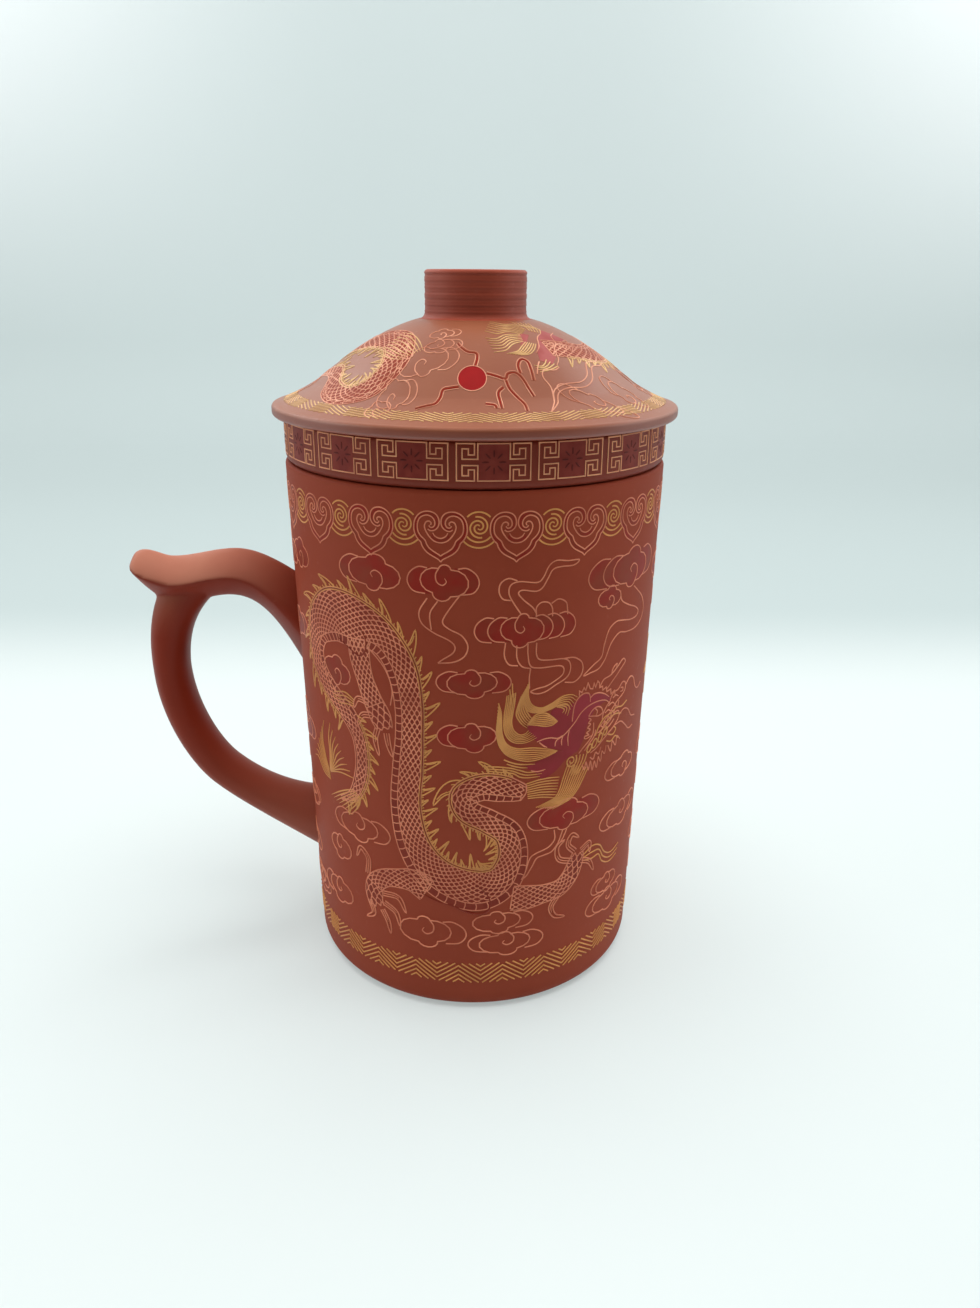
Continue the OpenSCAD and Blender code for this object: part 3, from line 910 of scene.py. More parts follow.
def drawNet(sheet, paths):
    sheet["net"] += [np.column_stack([path, np.full(len(path), widths["scale"] / 2)]) for path in paths]


scaleRows = dict(first=0.6, spill=0.2, deep=1.1, points=6)


def drawScales(sheet, b, low, high, pitch=1.1, row=0.95, start=0, end=1):
    # staggered rows of half-round arcs between two lines along the limb, cut off at both and at its ends
    first, last = start * b["length"], end * b["length"]
    s0 = np.arange(first + row * scaleRows["first"], last + row, row)
    most = math.ceil(b["half"].max() / pitch)
    s, t = np.meshgrid(s0, np.arange(-most, most + 1) * pitch, indexing="ij")
    t = t + (np.arange(len(s0)) % 2)[:, None] * pitch / 2
    half = halfAt(b, s)
    spill = pitch * scaleRows["spill"]
    keep = (t > low(half) - spill) & (t < high(half) + spill)
    s, t = s[keep][:, None], t[keep][:, None]
    a = np.linspace(-1, 1, scaleRows["points"])[None] * math.pi / 2
    s, t = np.clip(s - row * scaleRows["deep"] * np.cos(a), first, last), t + pitch / 2 * np.sin(a)
    half = halfAt(b, s)
    drawNet(sheet, onLimb(b, s, np.clip(t, low(half), high(half))))


paw = dict(
    start=0.72, pitch=1.6, row=1.4, groundShort=0.5, clawWidth=1.2, creaseShare=0.55, creaseWidth=0.8,
)


def drawLeg(sheet, points):
    # fine scales down the limb, and coarse ones on the paw
    b = limb(points)
    drawEdges(sheet, b, leftEdge, rightEdge)
    drawScales(sheet, b, rightEdge, leftEdge, end=paw["start"])
    drawScales(sheet, b, rightEdge, leftEdge, paw["pitch"], paw["row"], paw["start"])
    sheet["scaleBands"].append(groundOf(b, b["s"] < b["length"] - paw["groundShort"]))


def drawClaw(sheet, points):
    # a hook: both edges of a curve whose half width falls to nothing at the tip, and a line inside
    b = limb(np.column_stack([points, np.full(len(points), 1)]), 0.25)
    share = paw["clawWidth"] / 2 * np.sqrt(1 - (b["s"] / b["length"]) ** 2)
    out = b["normal"] * share[:, None]
    edge = np.concatenate([b["line"] + out, (b["line"] - out)[-2::-1]])
    ink(sheet, "pink", [edge], widths["outline"], steps=0)
    inside = b["s"] < paw["creaseShare"] * b["length"]
    ink(sheet, "pink", [b["line"][inside]], widths["outline"] * paw["creaseWidth"], (1, 0.5), 0)


def drawHair(sheet, first, last, count):
    # strands spread evenly between two guide curves of equal count
    a, b = np.asarray(first, float), np.asarray(last, float)
    strands = [a * (1 - share) + b * share for share in np.linspace(0, 1, count)]
    ink(sheet, "gold", strands, widths["hair"], (0.8, 0.35), 5)


spine = dict(
    flame=[(-1, 0), (-1.2, 0.3), (-1.9, 1), (-0.85, 0.62), (-0.1, 0.28), (0.5, 0)],
    core=[(-0.9, 0.16), (-1.15, 0.45), (-1.5, 0.74)],
    pitch=2.9, heights=(3.4, 1.7, 2.7, 1.5), inset=0.5, tick=0.6, tickStep=0.72, tickLean=-0.25,
    stretch=(0.6, 0.2), coreWidth=0.8, tickWidth=0.35, lineStep=0.6,
)


def drawSpine(sheet, b, first, last, scale=1, side=1):
    # flames lean back along one edge, tall and short in turn, over a double line with ticks between
    flame, core = curveThrough(spine["flame"], 4), np.array(spine["core"])
    least, more = spine["stretch"]
    for k, s0 in enumerate(np.arange(first, last, spine["pitch"] * scale)):
        height = spine["heights"][k % len(spine["heights"])] * scale
        foot = halfAt(b, s0)
        for part, width in ((flame, widths["hair"]), (core, widths["hair"] * spine["coreWidth"])):
            s = s0 + part[:, 0] * scale * (least + more * height)
            ink(sheet, "gold", [onLimb(b, s, side * (foot + part[:, 1] * height))], width, steps=0)
    s = np.arange(first, last, spine["tickStep"])[:, None]
    ticks = side * (halfAt(b, s) + spine["tick"] * scale * np.array([[0, 1]]))
    for path in onLimb(b, s + [[0, spine["tickLean"]]], ticks):
        sheet["gold"].append(np.column_stack([path, np.full(2, widths["hair"] * spine["tickWidth"])]))
    s = np.arange(first, last, spine["lineStep"])
    lines = [onLimb(b, s, side * (halfAt(b, s) + t)) for t in (0, -spine["inset"] * scale)]
    ink(sheet, "gold", lines, widths["gold"], steps=0)


def drawBelly(sheet, b):
    # plates between the right edge and the belly's line, parted by slightly bent cross lines
    drawEdges(sheet, b, rightEdge, bellyLine)
    s = np.arange(belly["plate"], b["length"], belly["plate"])[:, None] + np.array([[0, belly["bend"], 0]])
    half = halfAt(b, s)
    drawNet(sheet, onLimb(b, s, plateWidth(half) * np.array([[0, 0.5, 1]]) - half))


dragon = dict(
    # centre line and half width, from the tail to the neck
    body=[
        (-33, 46.6, 0.4), (-28.8, 48.6, 1.4), (-26.2, 53, 1.9), (-25.2, 58, 2), (-25.8, 63.4, 2.1),
        (-28.6, 67.6, 2.4), (-33.4, 71, 2.7), (-37.8, 75, 3), (-39.2, 79.8, 3.2), (-37.4, 85, 4.4),
        (-32, 88.5, 5.5), (-26.4, 88.7, 5.6), (-21, 87.7, 4.5), (-17.1, 84.9, 3.6), (-14.4, 80, 3.4),
        (-13.3, 73, 3.1), (-13.4, 66, 3.1), (-14, 59, 3.4), (-14.7, 50, 3.5), (-13, 41, 4), (-8, 34.4, 4.7),
        (0, 31.4, 5.1), (6, 33.4, 4.3), (8.3, 39, 3.4), (7.2, 44.6, 3), (3, 47.9, 2.8), (-1.4, 50.4, 2.8),
        (-2.2, 54, 2.9), (1.4, 56, 3), (5.4, 55.6, 3), (8.4, 54.7, 2.4), (10.3, 54.1, 1.8),
    ],
    tailFins=(3, 24, 0.8), spineFrom=27, spineTo=3.4, neckEnd=(10.9, 54),
    muscles=[
        [(-24.2, 88), (-22.7, 85.6), (-22.8, 83), (-24.4, 81.6), (-26.6, 82.4), (-30.4, 84.2)],
        [(-12, 29.8), (-8.5, 28.2), (-5, 27.4), (-0.5, 25.6), (2.6, 25.8), (3.6, 28), (2.6, 30.6), (0.3, 33)],
    ],
    legs=[
        [(-24.6, 85, 2.8), (-24.4, 81, 2.6), (-23.4, 77, 2.2), (-21.8, 73, 2.4), (-20, 69.5, 2.6),
         (-19, 66.8, 2)],
        [(-10.5, 30.6, 3.1), (-13.5, 32.2, 2.9), (-17, 32, 2.3), (-20.8, 31, 2.1), (-23.6, 28.6, 2.3),
         (-24, 25.4, 2.4), (-23, 23, 1.8)],
        [(8.4, 28.8, 3), (12, 28.4, 2.9), (16, 28.4, 2.3), (20, 28.8, 2.3), (22.6, 31, 2.4), (24, 34, 2.2),
         (24.6, 36.2, 1.6)],
    ],
    claws=[
        [(-20.8, 66.5), (-21.4, 64), (-20.7, 60.6)], [(-18.6, 66), (-18.2, 63.4), (-17.4, 61)],
        [(-22, 69.2), (-24.6, 68.6), (-26, 66)],
        [(-22.6, 71.8), (-25.6, 72), (-26.8, 69.8)],
        [(-25.6, 30.6), (-25.2, 34.4), (-27.4, 36.4), (-28.8, 33.8)],
        [(-25.4, 24), (-24.4, 20.8), (-26.6, 19)],
        [(-21.8, 22.6), (-20.4, 20), (-19.8, 17)], [(-21.2, 24.6), (-18.2, 23), (-17.2, 19.6)],
        [(-21.4, 27), (-17.4, 27), (-15.6, 23.6)],
        [(22.8, 34.6), (19.4, 36.2), (18.8, 39.2), (20.6, 40.6)],
        [(23.6, 36.8), (21.7, 39), (22.6, 41.2), (24.6, 40)],
        [(25.4, 36.4), (27.9, 37.4), (28.2, 35)], [(25.8, 33.8), (28.4, 32.4), (30, 29.6)],
        [(19.6, 27), (17.9, 24.4), (19, 21.8), (21.7, 20.8)],
    ],
    # guide curves of each bundle of hair, and its count of strands
    hair=[
        # the brow's band, the lens behind the cheek and what feeds it
        ([(10.8, 78.4), (10.75, 75.4), (11.6, 73.4), (13.6, 72.5), (15.8, 73.1), (18.2, 74.2),
          (20.4, 74.2), (22, 73.3)],
         [(9.9, 76.6), (9.8, 74.2), (10.9, 72.2), (13.2, 71.6), (15.4, 71.9), (17.4, 72.5), (19.4, 72.4),
          (20.3, 71)], 5),
        ([(10.4, 77.4), (9.9, 74.8), (10.3, 72.6), (11.2, 71), (11.8, 70.4)],
         [(9.3, 75.6), (8.5, 73), (8.4, 71.4), (9.4, 69.7), (10.6, 68.6)], 6),
        ([(11.2, 70), (12.5, 71.2), (14.4, 71.3), (16, 70.3), (17.4, 69)],
         [(10.7, 69.3), (12.7, 68.9), (14.6, 68.4), (16.2, 68.4), (17.4, 69)], 7),
        ([(17.6, 72.6), (19, 72.4), (20, 71.6), (19.6, 69.8)],
         [(17, 72.2), (18, 71.9), (18.8, 71.3), (18.4, 70.6)], 3),
        # two lobes that sweep back under it
        ([(8.1, 76.4), (8, 74.6), (7.7, 72.6), (7.4, 70.2), (7.9, 68.3), (9.2, 67.2), (10.4, 67.4), (11, 68)],
         [(6.4, 75.9), (6.2, 74), (5.9, 71.6), (5.9, 69), (6.6, 66.9), (8.2, 65.6), (10.6, 65.4),
          (12.8, 66.2)], 6),
        ([(7.4, 78.4), (7.5, 76.4), (7.9, 74.4), (7.6, 72.4)],
         [(6.9, 77.2), (7.1, 75.6), (7.2, 74.2), (7, 72.4)], 2),
        ([(4.7, 74.4), (5.3, 72.2), (5.4, 69.8), (5.6, 67.4), (6.6, 65.3), (8.8, 64.2), (12, 64),
          (15, 63.3), (17.6, 62.4)],
         [(4.5, 70.2), (4.4, 68.4), (4.6, 66.6), (5.2, 64.8), (6.6, 63), (9, 61.7), (11.6, 61.1),
          (14.6, 61.4), (17.2, 62.1)], 7),
        ([(6, 62), (7.6, 61.2), (9.6, 60.6), (12.6, 60.3)],
         [(6.6, 61), (8, 60.4), (9.6, 59.9), (11, 59.7)], 2),
        # the neck's end, the strands under the jaw and the beard
        ([(1.6, 60.7), (4.4, 60.5), (7.4, 60), (9.6, 59.2), (11.2, 58.6), (14.6, 58.5)],
         [(2.4, 59.7), (5, 59.3), (7.8, 58.8), (9.4, 57.8), (11, 57.4), (13.8, 57.3)], 3),
        ([(10.9, 56), (13.6, 56.5), (16, 56.5), (18.4, 56.2)],
         [(11.3, 52.6), (14, 52.4), (16, 52), (17.8, 51.5)], 8),
        ([(20.4, 58.8), (19.4, 55.8), (18.7, 53.4), (17.6, 51.6), (15.4, 50.8), (13.2, 50.2)],
         [(26, 56.4), (24.6, 54), (23.3, 52), (21.6, 50.4), (19.6, 49.7), (17, 49)], 10),
        ([(22.6, 60.2), (22.4, 58.8), (21.6, 57.2), (20.6, 55.6)],
         [(25.4, 59.8), (24.8, 58.2), (23.8, 56.8), (22.6, 55.4)], 4),
        # tail, and the far leg's tuft
        ([(-37, 52), (-36.6, 56), (-36.6, 60), (-35.6, 63.4)],
         [(-36.8, 51.4), (-33.6, 52.6), (-31, 53), (-28.4, 53)], 9),
        ([(-28.4, 50.2), (-31, 49.2), (-34, 47.6), (-37.2, 45.6)],
         [(-26.4, 49), (-27, 47), (-28.2, 45.4), (-30, 43.6)], 8),
        ([(-37.4, 51.6), (-39, 55), (-39.6, 59), (-38.4, 63)],
         [(-37, 49.4), (-40, 50), (-43, 52.4), (-45.4, 52)], 7),
        ([(-26.6, 71.4), (-29, 72.4), (-31.4, 72), (-33.4, 71.2)],
         [(-26.8, 70), (-29, 70), (-31, 69.6), (-33, 70.2)], 4),
        ([(26.4, 35), (29, 36.1), (31.8, 35.2), (33.8, 32.6), (36.6, 31.2), (40.4, 31.8)],
         [(26.6, 33.4), (29, 32.9), (31.5, 33), (33, 30.6), (36, 29), (39.6, 29.4)], 3),
    ],
    # upper and lower edges of the face's and the throat's colour
    plum=[
        ([(10.6, 69.3), (12.5, 68.9), (14.6, 68.4), (15.6, 70.9), (16.4, 71.9), (19, 71.8), (21.2, 72.4),
          (23.2, 73.7), (25.4, 73.1), (28.2, 72.7), (30, 71.9), (31.2, 71.3), (32, 70.6)],
         [(10.9, 68), (11.6, 66.7), (13, 65.2), (15, 63.7), (17, 62.9), (18.6, 62.2), (20.4, 61.4),
          (22.6, 61), (24.2, 63.6), (25, 66.4), (26.4, 68.8), (29.2, 70.2), (31.8, 70.1)]),
        ([(10.7, 60), (13, 60.7), (15.4, 61.4), (17.6, 62.3), (20.4, 61.5), (22.4, 61.1)],
         [(10.9, 59.4), (12.6, 58.6), (14.4, 56.6), (17.4, 57.8), (19.6, 59.8), (21.4, 60.6)]),
    ],
    face=[
        # cheek and brow, forehead, ear
        [(17.5, 64.9), (19, 65.6), (20.5, 66.8), (21.8, 68.1), (23.3, 69.8), (25.5, 70.8), (28, 71),
         (30.2, 70.5), (31.6, 69.4)],
        [(20.9, 68.2), (21, 70), (21.3, 71.7), (22.1, 73), (23.4, 73.7), (24.8, 73.5),
         (25.3, 72.6), (25.4, 71.5)],
        [(25.4, 72.4), (26.4, 72.9), (28, 72.8), (29.8, 72), (31.2, 71)],
        [(12.9, 65.2), (14.4, 65.6), (16, 65.6), (17.5, 65.2), (18.7, 65.6)],
        [(13.4, 65), (14.4, 64.1), (15.2, 63.6)], [(17.6, 65.1), (17.1, 64.4), (17, 63.5)],
        [(18.8, 65.5), (18.5, 64.5), (18.6, 63.4)],
        [(20.3, 66.4), (20, 64.8), (20.2, 62.9)], [(11.8, 58.9), (13.2, 58.5), (15, 58.7)],
        # eye and the beaded fold behind the mouth
        [(25.2, 68.3), (26.2, 69.4), (27.6, 69.8), (28.9, 69.2), (29.4, 68), (28.2, 67.6), (26.8, 67.9),
         (25.2, 68.3)], [(27, 69.6), (27.7, 68.8), (27.4, 67.9)],
        [(25.2, 67.9), (26, 67.3), (25.3, 66.8), (25.9, 66.3), (25.2, 65.7), (25.9, 65.1), (25, 64.6),
         (25.6, 64), (24.4, 63.9), (24.8, 63.3), (26.4, 63.6)],
        [(26.8, 66.4), (26.9, 64.8), (26.7, 63.7), (25.6, 62.5), (24.2, 61.4), (23.1, 60.4)],
        [(27.6, 64.6), (27.2, 63.2), (25.8, 61.8), (24.6, 60.6)],
        # snout, upper and lower jaw
        [(31.6, 70.2), (32.8, 71.5), (34.4, 71.7), (35.8, 72.8), (37.2, 72.4), (37.3, 70.8), (36, 69.8),
         (34.2, 69), (32.2, 67.5), (30.2, 65.9), (28.6, 64.8)],
        [(35.4, 71.7), (36.3, 71.5), (36.2, 70.8), (35.3, 70.9)], [(32.6, 70.3), (33.7, 70.6), (34.7, 70.1)],
        [(31.2, 68.9), (32.5, 69.3), (33.4, 68.8)],
        [(30.2, 67.6), (31.2, 68), (32, 67.6)], [(29.4, 66.4), (29.6, 67.6), (30.6, 69), (31.8, 70)],
        [(28.2, 63.6), (30, 64.2), (32, 65.3), (33.8, 66.6), (35.2, 66.5), (35.4, 65.1), (33.8, 63.5),
         (31.6, 62.4), (29.6, 61.2), (28, 60.2), (26.4, 59.6)],
        [(30.6, 63.6), (32.2, 64.2), (33.6, 65.2)],
        # horn, whiskers and the beard's fringe
        [(27.9, 73.9), (29, 75.4), (31.2, 75.8), (33.4, 77), (35.4, 78.2), (36.4, 77.4), (34.8, 76.2),
         (32.6, 74.7), (30.2, 73)],
        [(31.4, 75.9), (32, 77.2), (33.2, 77.8), (33, 76.8)],
        [(37.3, 71.6), (39.2, 72.9), (41.2, 72.2), (42.6, 69.8), (44.6, 68.6), (46.8, 69.2)],
        [(35.4, 65.4), (37.4, 66.2), (39.6, 65.4), (41.6, 63.2), (44, 62.4)],
        [(34.2, 63.6), (36.6, 63.6), (38.8, 62), (40.8, 60.4), (43, 60.4)],
        [(24.2, 57.6), (24.9, 56.2), (25.3, 57.8), (26.1, 55.8), (26.6, 57.6), (27.3, 55.4), (27.8, 57.2),
         (28.6, 55.6), (29, 57.8), (29.8, 56.6), (30.1, 58.8), (31, 58), (31.4, 59.8)],
        [(26.4, 58.6), (27.4, 57.9), (28, 59.2), (29, 58.6), (29.6, 60)],
        [(32, 59.6), (33.2, 57.8), (33.6, 60), (35, 58.6), (35.4, 60.6), (36.8, 59.4)],
    ],
    teeth=[
        [(22.4, 73.3), (22.3, 74.6), (23, 74.1), (23.5, 75.1), (24, 74.3), (24.5, 75.9), (25.2, 74.4),
         (25.9, 74.2), (26.2, 75.4), (26.7, 74.3), (27.2, 75.6), (27.8, 75), (27.9, 73.9), (28.8, 74),
         (28.9, 73.1), (30, 73.5), (30.3, 72.4), (31.6, 72.6), (31.8, 71.4), (33, 71.9), (33.3, 70.8)],
        [(29.2, 65), (29.9, 64.4), (30.3, 65.8), (31, 65), (31.4, 66.6), (32.2, 65.7), (32.6, 67.5),
         (33.4, 66.6), (33.8, 68.4), (34.7, 67.4), (35, 69)],
    ],
    # rings of the barbels under the mouth: middle, half width, half height, turn
    rings=[((26, 60.8), 0.55, 0.95, -25), ((27.5, 61.5), 0.6, 1.05, -25), ((29.2, 62.3), 0.6, 1, -20),
           ((30.8, 63.3), 0.5, 0.9, -20)],
    goldLines=[
        [(27.6, 63.2), (28.6, 65.2), (30.2, 66.6), (32.4, 67), (34.4, 67.6), (36.4, 67.2), (38.6, 67.8)],
        [(28.6, 62.9), (30.2, 64.8), (32, 65.9), (34, 66.2), (36.4, 65.6)],
        [(31.8, 62.2), (33.6, 61.6), (34.6, 62.6), (33.8, 63.4)],
        [(31.4, 60.8), (33, 60.2), (34.6, 60.9), (36, 60)],
    ],
    # the curl at the beard's root: its first angle, its turns, its first radius and how much that grows
    curl=(2.6, 1.7, 0.25, 1.3), curlAt=(21.2, 59.2),
)


def drawHead(sheet, d, faceEnds, plumSteps):
    # bundles of hair, the colour of face and throat, and the lines over it
    for bundle in d["hair"]:
        drawHair(sheet, *bundle)
    sheet["plumBands"] += [tuple(curveThrough(edge, plumSteps) for edge in edges) for edges in d["plum"]]
    ink(sheet, "pink", d["face"], widths["hair"], faceEnds)


def drawDragon(sheet):
    d = dragon
    body = limb(d["body"])
    drawScales(sheet, body, bellyLine, lambda half: half - spine["inset"])
    drawBelly(sheet, body)
    drawEdges(sheet, body, leftEdge)
    drawSpine(sheet, body, d["spineFrom"], body["length"] - d["spineTo"])
    drawSpine(sheet, body, *d["tailFins"], -1)
    left, right = groundOf(body)
    sheet["scaleBands"].append((left, right))
    ink(sheet, "pink", [[left[-1], d["neckEnd"], right[-1]]], widths["outline"])
    ink(sheet, "muscle", d["muscles"], widths["muscle"], (0.3, 0.3))
    for points in d["legs"]:
        drawLeg(sheet, points)
    for points in d["claws"]:
        drawClaw(sheet, points)
    drawHead(sheet, d, (0.9, 0.6), 5)
    ink(sheet, "pink", d["teeth"], widths["scale"], steps=0)
    ink(sheet, "gold", d["goldLines"], widths["hair"])
    circle = arc((0, 0), 1, 0, 360, 18)
    rings = [placed(circle, at, (wide, high), turn) for at, wide, high, turn in d["rings"]]
    ink(sheet, "gold", rings, widths["hair"], steps=0)
    start, turns, inner, grown = d["curl"]
    a = np.linspace(0, turns * tau, 40)
    curl = np.stack([np.cos(a + start), np.sin(a + start)], -1) * (inner + grown * a / a[-1])[:, None]
    ink(sheet, "gold", [curl + d["curlAt"]], widths["hair"], steps=0)


# each cloud: middle, half width and height, flip, lobes to the right and left, filled or not
clouds = [
    ((-19.7, 99.2), (5.0, 3.4), (1, -1), 0, 1, True), ((-6, 98.7), (3.9, 3.3), (-1, 1), 1, 1, True),
    ((8.9, 89.2), (3.7, 3.2), (-1, 1), 3, 2, True), ((36.6, 97.6), (5.6, 3.9), (1, -1), 1, 2, True),
    ((-0.2, 78.6), (4.2, 2.8), (1, 1), 1, 1, True), ((-0.2, 67.1), (4.2, 3), (1, 1), 0, 1, True),
    ((-31.4, 76.6), (3.7, 3.1), (1, -1), 0, 0, True), ((-27.4, 41.5), (4.9, 3.3), (1, 1), 1, 1, False),
    ((-10.8, 19.9), (5.2, 3.7), (1, 1), 1, 0, False), ((5.4, 23), (4.6, 2.7), (1, 1), 1, 0, False),
    ((7.4, 17.4), (5, 2.9), (1, 1), 1, 1, False), ((20.8, 46.8), (5.4, 3.4), (1, -1), 1, 1, True),
    ((40.6, 40), (5.4, 3), (1, 1), 1, 1, False), ((39.8, 52.2), (4.6, 2.6), (1, -1), 0, 1, False),
    ((37, 18.9), (5, 2.9), (1, 1), 1, 1, False), ((36, 23.8), (3.6, 2.4), (1, 1), 0, 1, False),
    ((-44, 98.4), (3.9, 3), (1, -1), 0, 0, True), ((-35, 33.6), (3.4, 3), (-1, 1), 0, 0, False),
    ((-36.5, 21.5), (4.2, 3.2), (-1, 1), 0, 1, False), ((29.5, 92.8), (2.9, 2.2), (1, -1), 0, 0, True),
    # the sides, between the two dragons
    ((53, 94.6), (4.4, 3), (-1, 1), 1, 0, True), ((70, 97), (5, 3.2), (1, -1), 1, 1, True),
    ((61.5, 86), (4, 2.8), (1, 1), 0, 1, True), ((74.6, 82), (4.4, 3), (-1, 1), 1, 0, True),
    ((55, 52), (4.8, 3.2), (1, 1), 1, 0, False), ((73.5, 57.6), (4.8, 3.1), (-1, 1), 1, 1, True),
    ((62, 41.6), (4.6, 3), (1, -1), 0, 1, False), ((77, 41), (4.2, 2.8), (1, 1), 0, 1, False),
    ((54, 29.6), (4.8, 3.2), (-1, 1), 1, 0, False), ((70, 27.4), (5.2, 3.2), (1, 1), 1, 1, False),
    ((60, 18.6), (4.8, 2.9), (1, 1), 1, 0, False), ((78.6, 18.2), (4.2, 2.8), (-1, 1), 0, 1, False),
]
handleClouds = [
    ((-58.6, 99.6), (4, 2.4), (1, -1), 1, 0, True), ((-74.4, 97.6), (4.6, 3), (-1, 1), 1, 0, True),
    ((-51.6, 60.6), (3.8, 2.8), (1, 1), 0, 0, True), ((-74.6, 63.6), (4, 3), (1, 1), 1, 0, True),
    ((-50, 40.4), (3.8, 2.8), (-1, 1), 0, 0, False), ((-76.6, 48.6), (4, 2.8), (1, -1), 0, 1, False),
    ((-62.6, 48.6), (4.6, 3), (1, 1), 1, 0, False), ((-50, 19), (4, 2.8), (1, 1), 1, 0, False),
    ((-77, 22), (4.2, 2.8), (1, 1), 1, 0, False), ((-78, 83), (3.6, 2.8), (1, 1), 0, 0, True),
]
ribbons = [
    [(-9, 95.5), (-10.6, 92.8), (-10.2, 90.5), (-8, 88.8), (-5, 87.4), (-3.8, 86.2), (-4.2, 84.8),
     (-6.3, 83.3), (-7.1, 82.6)],
    [(-7, 95), (-8.5, 92.5), (-8.3, 89.3)],
    [(-2.8, 96.3), (-5, 93.2), (-6.1, 91), (-5, 89.7), (-2.5, 88.4), (-1.3, 86.3), (-2, 84.2),
     (-4, 83), (-7.1, 82.6)],
    [(8.8, 92.4), (7.4, 94.5), (6.4, 96.5), (6.7, 98.2), (8.4, 98.8), (11.8, 98.4), (13, 99.3), (14.1, 101.4),
     (15.6, 102.3), (18, 102), (20.5, 101.9), (19.4, 101), (16.6, 101), (14.9, 100.6), (13.9, 98.9),
     (12.9, 97.3), (11.6, 96.7), (9, 97.1), (8.2, 96.5), (9.2, 95.2), (11, 93.6), (11.8, 92.4)],
    [(6.7, 95.2), (5.2, 95.6), (4.5, 97), (4.8, 98.6), (6.2, 99.5), (7.9, 99)],
    [(11.9, 91.6), (11.8, 93.4), (12.8, 94.4), (14.3, 94.2), (15.1, 93), (15.2, 91.4)],
    [(14.9, 94), (16.4, 94.7), (18, 93.9), (18.4, 92.4), (18.5, 91.4)],
    [(10.3, 86.4), (10.4, 84), (11, 81.7), (13, 81.1), (17, 81), (18.2, 80.3), (18, 79), (16.5, 78),
     (14.5, 77.1), (12.5, 76.8), (11.2, 76.3), (12.5, 75.7), (14.3, 75.9), (16.5, 77), (19, 78.2),
     (19.8, 79.9), (19.4, 81.5), (18, 82.3), (15, 82.5), (12.8, 82.9), (12.1, 84.2), (12.1, 86.4)],
    [(5.9, 86.9), (5.7, 84.3), (6.6, 82.4), (8.4, 82)], [(8.1, 86.2), (8.2, 83.6), (9.2, 81.8), (11, 81.2)],
    [(11, 81.2), (10.8, 79.4), (10.9, 77)],
    [(18.2, 82.3), (20.6, 82.1), (22.6, 80.6), (22.7, 78.4), (21, 76.9), (18.6, 77.2)],
    [(32.4, 93.6), (33.2, 91.4), (36, 89.8), (39, 88.6), (40.6, 87.4), (40, 86.4), (37.4, 86.3), (34.4, 86.9),
     (31.8, 87.2), (29.6, 86), (28.4, 83), (27.8, 80.6), (25.6, 79.4), (23.2, 77.7), (25, 77.9), (27.3, 78.3),
     (29, 80), (30.5, 82.8), (33, 84.5), (36, 84), (40, 83.9), (43, 85.2), (43.6, 87.6), (42.2, 90),
     (39.6, 92), (37.6, 93.4)],
    [(17.8, 43.8), (18, 41.5), (16.5, 39.9), (13.5, 39), (12.2, 38), (11.3, 35), (10.4, 33.2)],
    [(20, 43.4), (19, 40.6), (17.5, 38.7), (15.5, 38.2), (13.8, 37.8), (12.8, 36), (11.5, 33.9),
     (10.4, 33.2)], [(21, 43.2), (19.9, 40.9), (18.2, 39.3)],
    [(-23, 84.6), (-18.6, 80.4), (-16.9, 76), (-17.4, 72.4)],
]
sunBall = dict(
    at=(60, 72), radius=3.2, outerRing=1.28, rays=7, slim=(0.62, 1),
    flame=[(-0.9, 1.35), (-1.1, 1.9), (-0.2, 2.3), (0.1, 3.1), (0.6, 2.3), (0.2, 1.9), (0.9, 1.35)],
)


def drawSun(sheet):
    # a red ball in two rings, with curling flames all round
    d = sunBall
    rings = [arc(d["at"], r, 0, 360, 40) for r in (d["radius"], d["radius"] * d["outerRing"])]
    sheet["red"].append(rings[0])
    ink(sheet, "pink", rings, widths["outline"], steps=0)
    flame = np.array(d["flame"]) * d["radius"] * d["slim"]
    flames = [placed(flame, d["at"], turn=360 * k / d["rays"]) for k in range(d["rays"])]
    ink(sheet, "gold", flames, widths["hair"])


def moved(sheet, by=0, sign=1):
    # every stroke and fill of a sheet again, moved sideways, or turned half way round where sign is -1
    def move(item):
        if isinstance(item, tuple):
            return tuple(move(part) for part in item)
        return np.column_stack([item[:, 0] * sign + by, item[:, 1] * sign, item[:, 2:]])
    return {kind: [move(item) for item in items] for kind, items in sheet.items()}


def merged(*sheets):
    return {kind: [item for sheet in sheets for item in sheet[kind]] for kind in sheets[0]}


def makeCupEnamel():
    front = newSheet()
    drawDragon(front)
    for cloud in clouds:
        drawCloud(front, *cloud)
    ink(front, "pink", ribbons, widths["outline"])
    back = moved(front, tau * cup["rimRadius"] / 2)
    rest = newSheet()
    drawHeartBorder(rest)
    ink(rest, "gold", zigzagRing(zigzag["count"], zigzag["shift"]), widths["zigzag"], steps=0)
    for cloud in handleClouds:
        drawCloud(rest, *cloud)
    drawSun(rest)
    every = merged(front, back, rest)
    layEnamel(
        "cup", onCup,
        (enamelLines, "cup_gold_lines", every["gold"], "gold", "gold_enamel"),
        (enamelLines, "cup_pink_lines", every["pink"], "pink", "pink_enamel"),
        (enamelLines, "dragon_scales_front", front["net"], "pink", "pink_enamel"),
        (enamelLines, "dragon_scales_back", back["net"], "pink", "pink_enamel"),
        (enamelLines, "dragon_muscles", every["muscle"], "scale", "red_enamel", 0.04),
        (enamelFills, "cup_red_fills", every["red"], "red", "red_enamel"),
        (enamelBands, "dragon_faces", every["plumBands"], "plum", "red_enamel", 13),
        (enamelBands, "heart_bands", every["redBands"], "red", "red_enamel", 3),
        (enamelBands, "dragon_grounds", every["scaleBands"], "scale", "red_enamel", 9),
    )


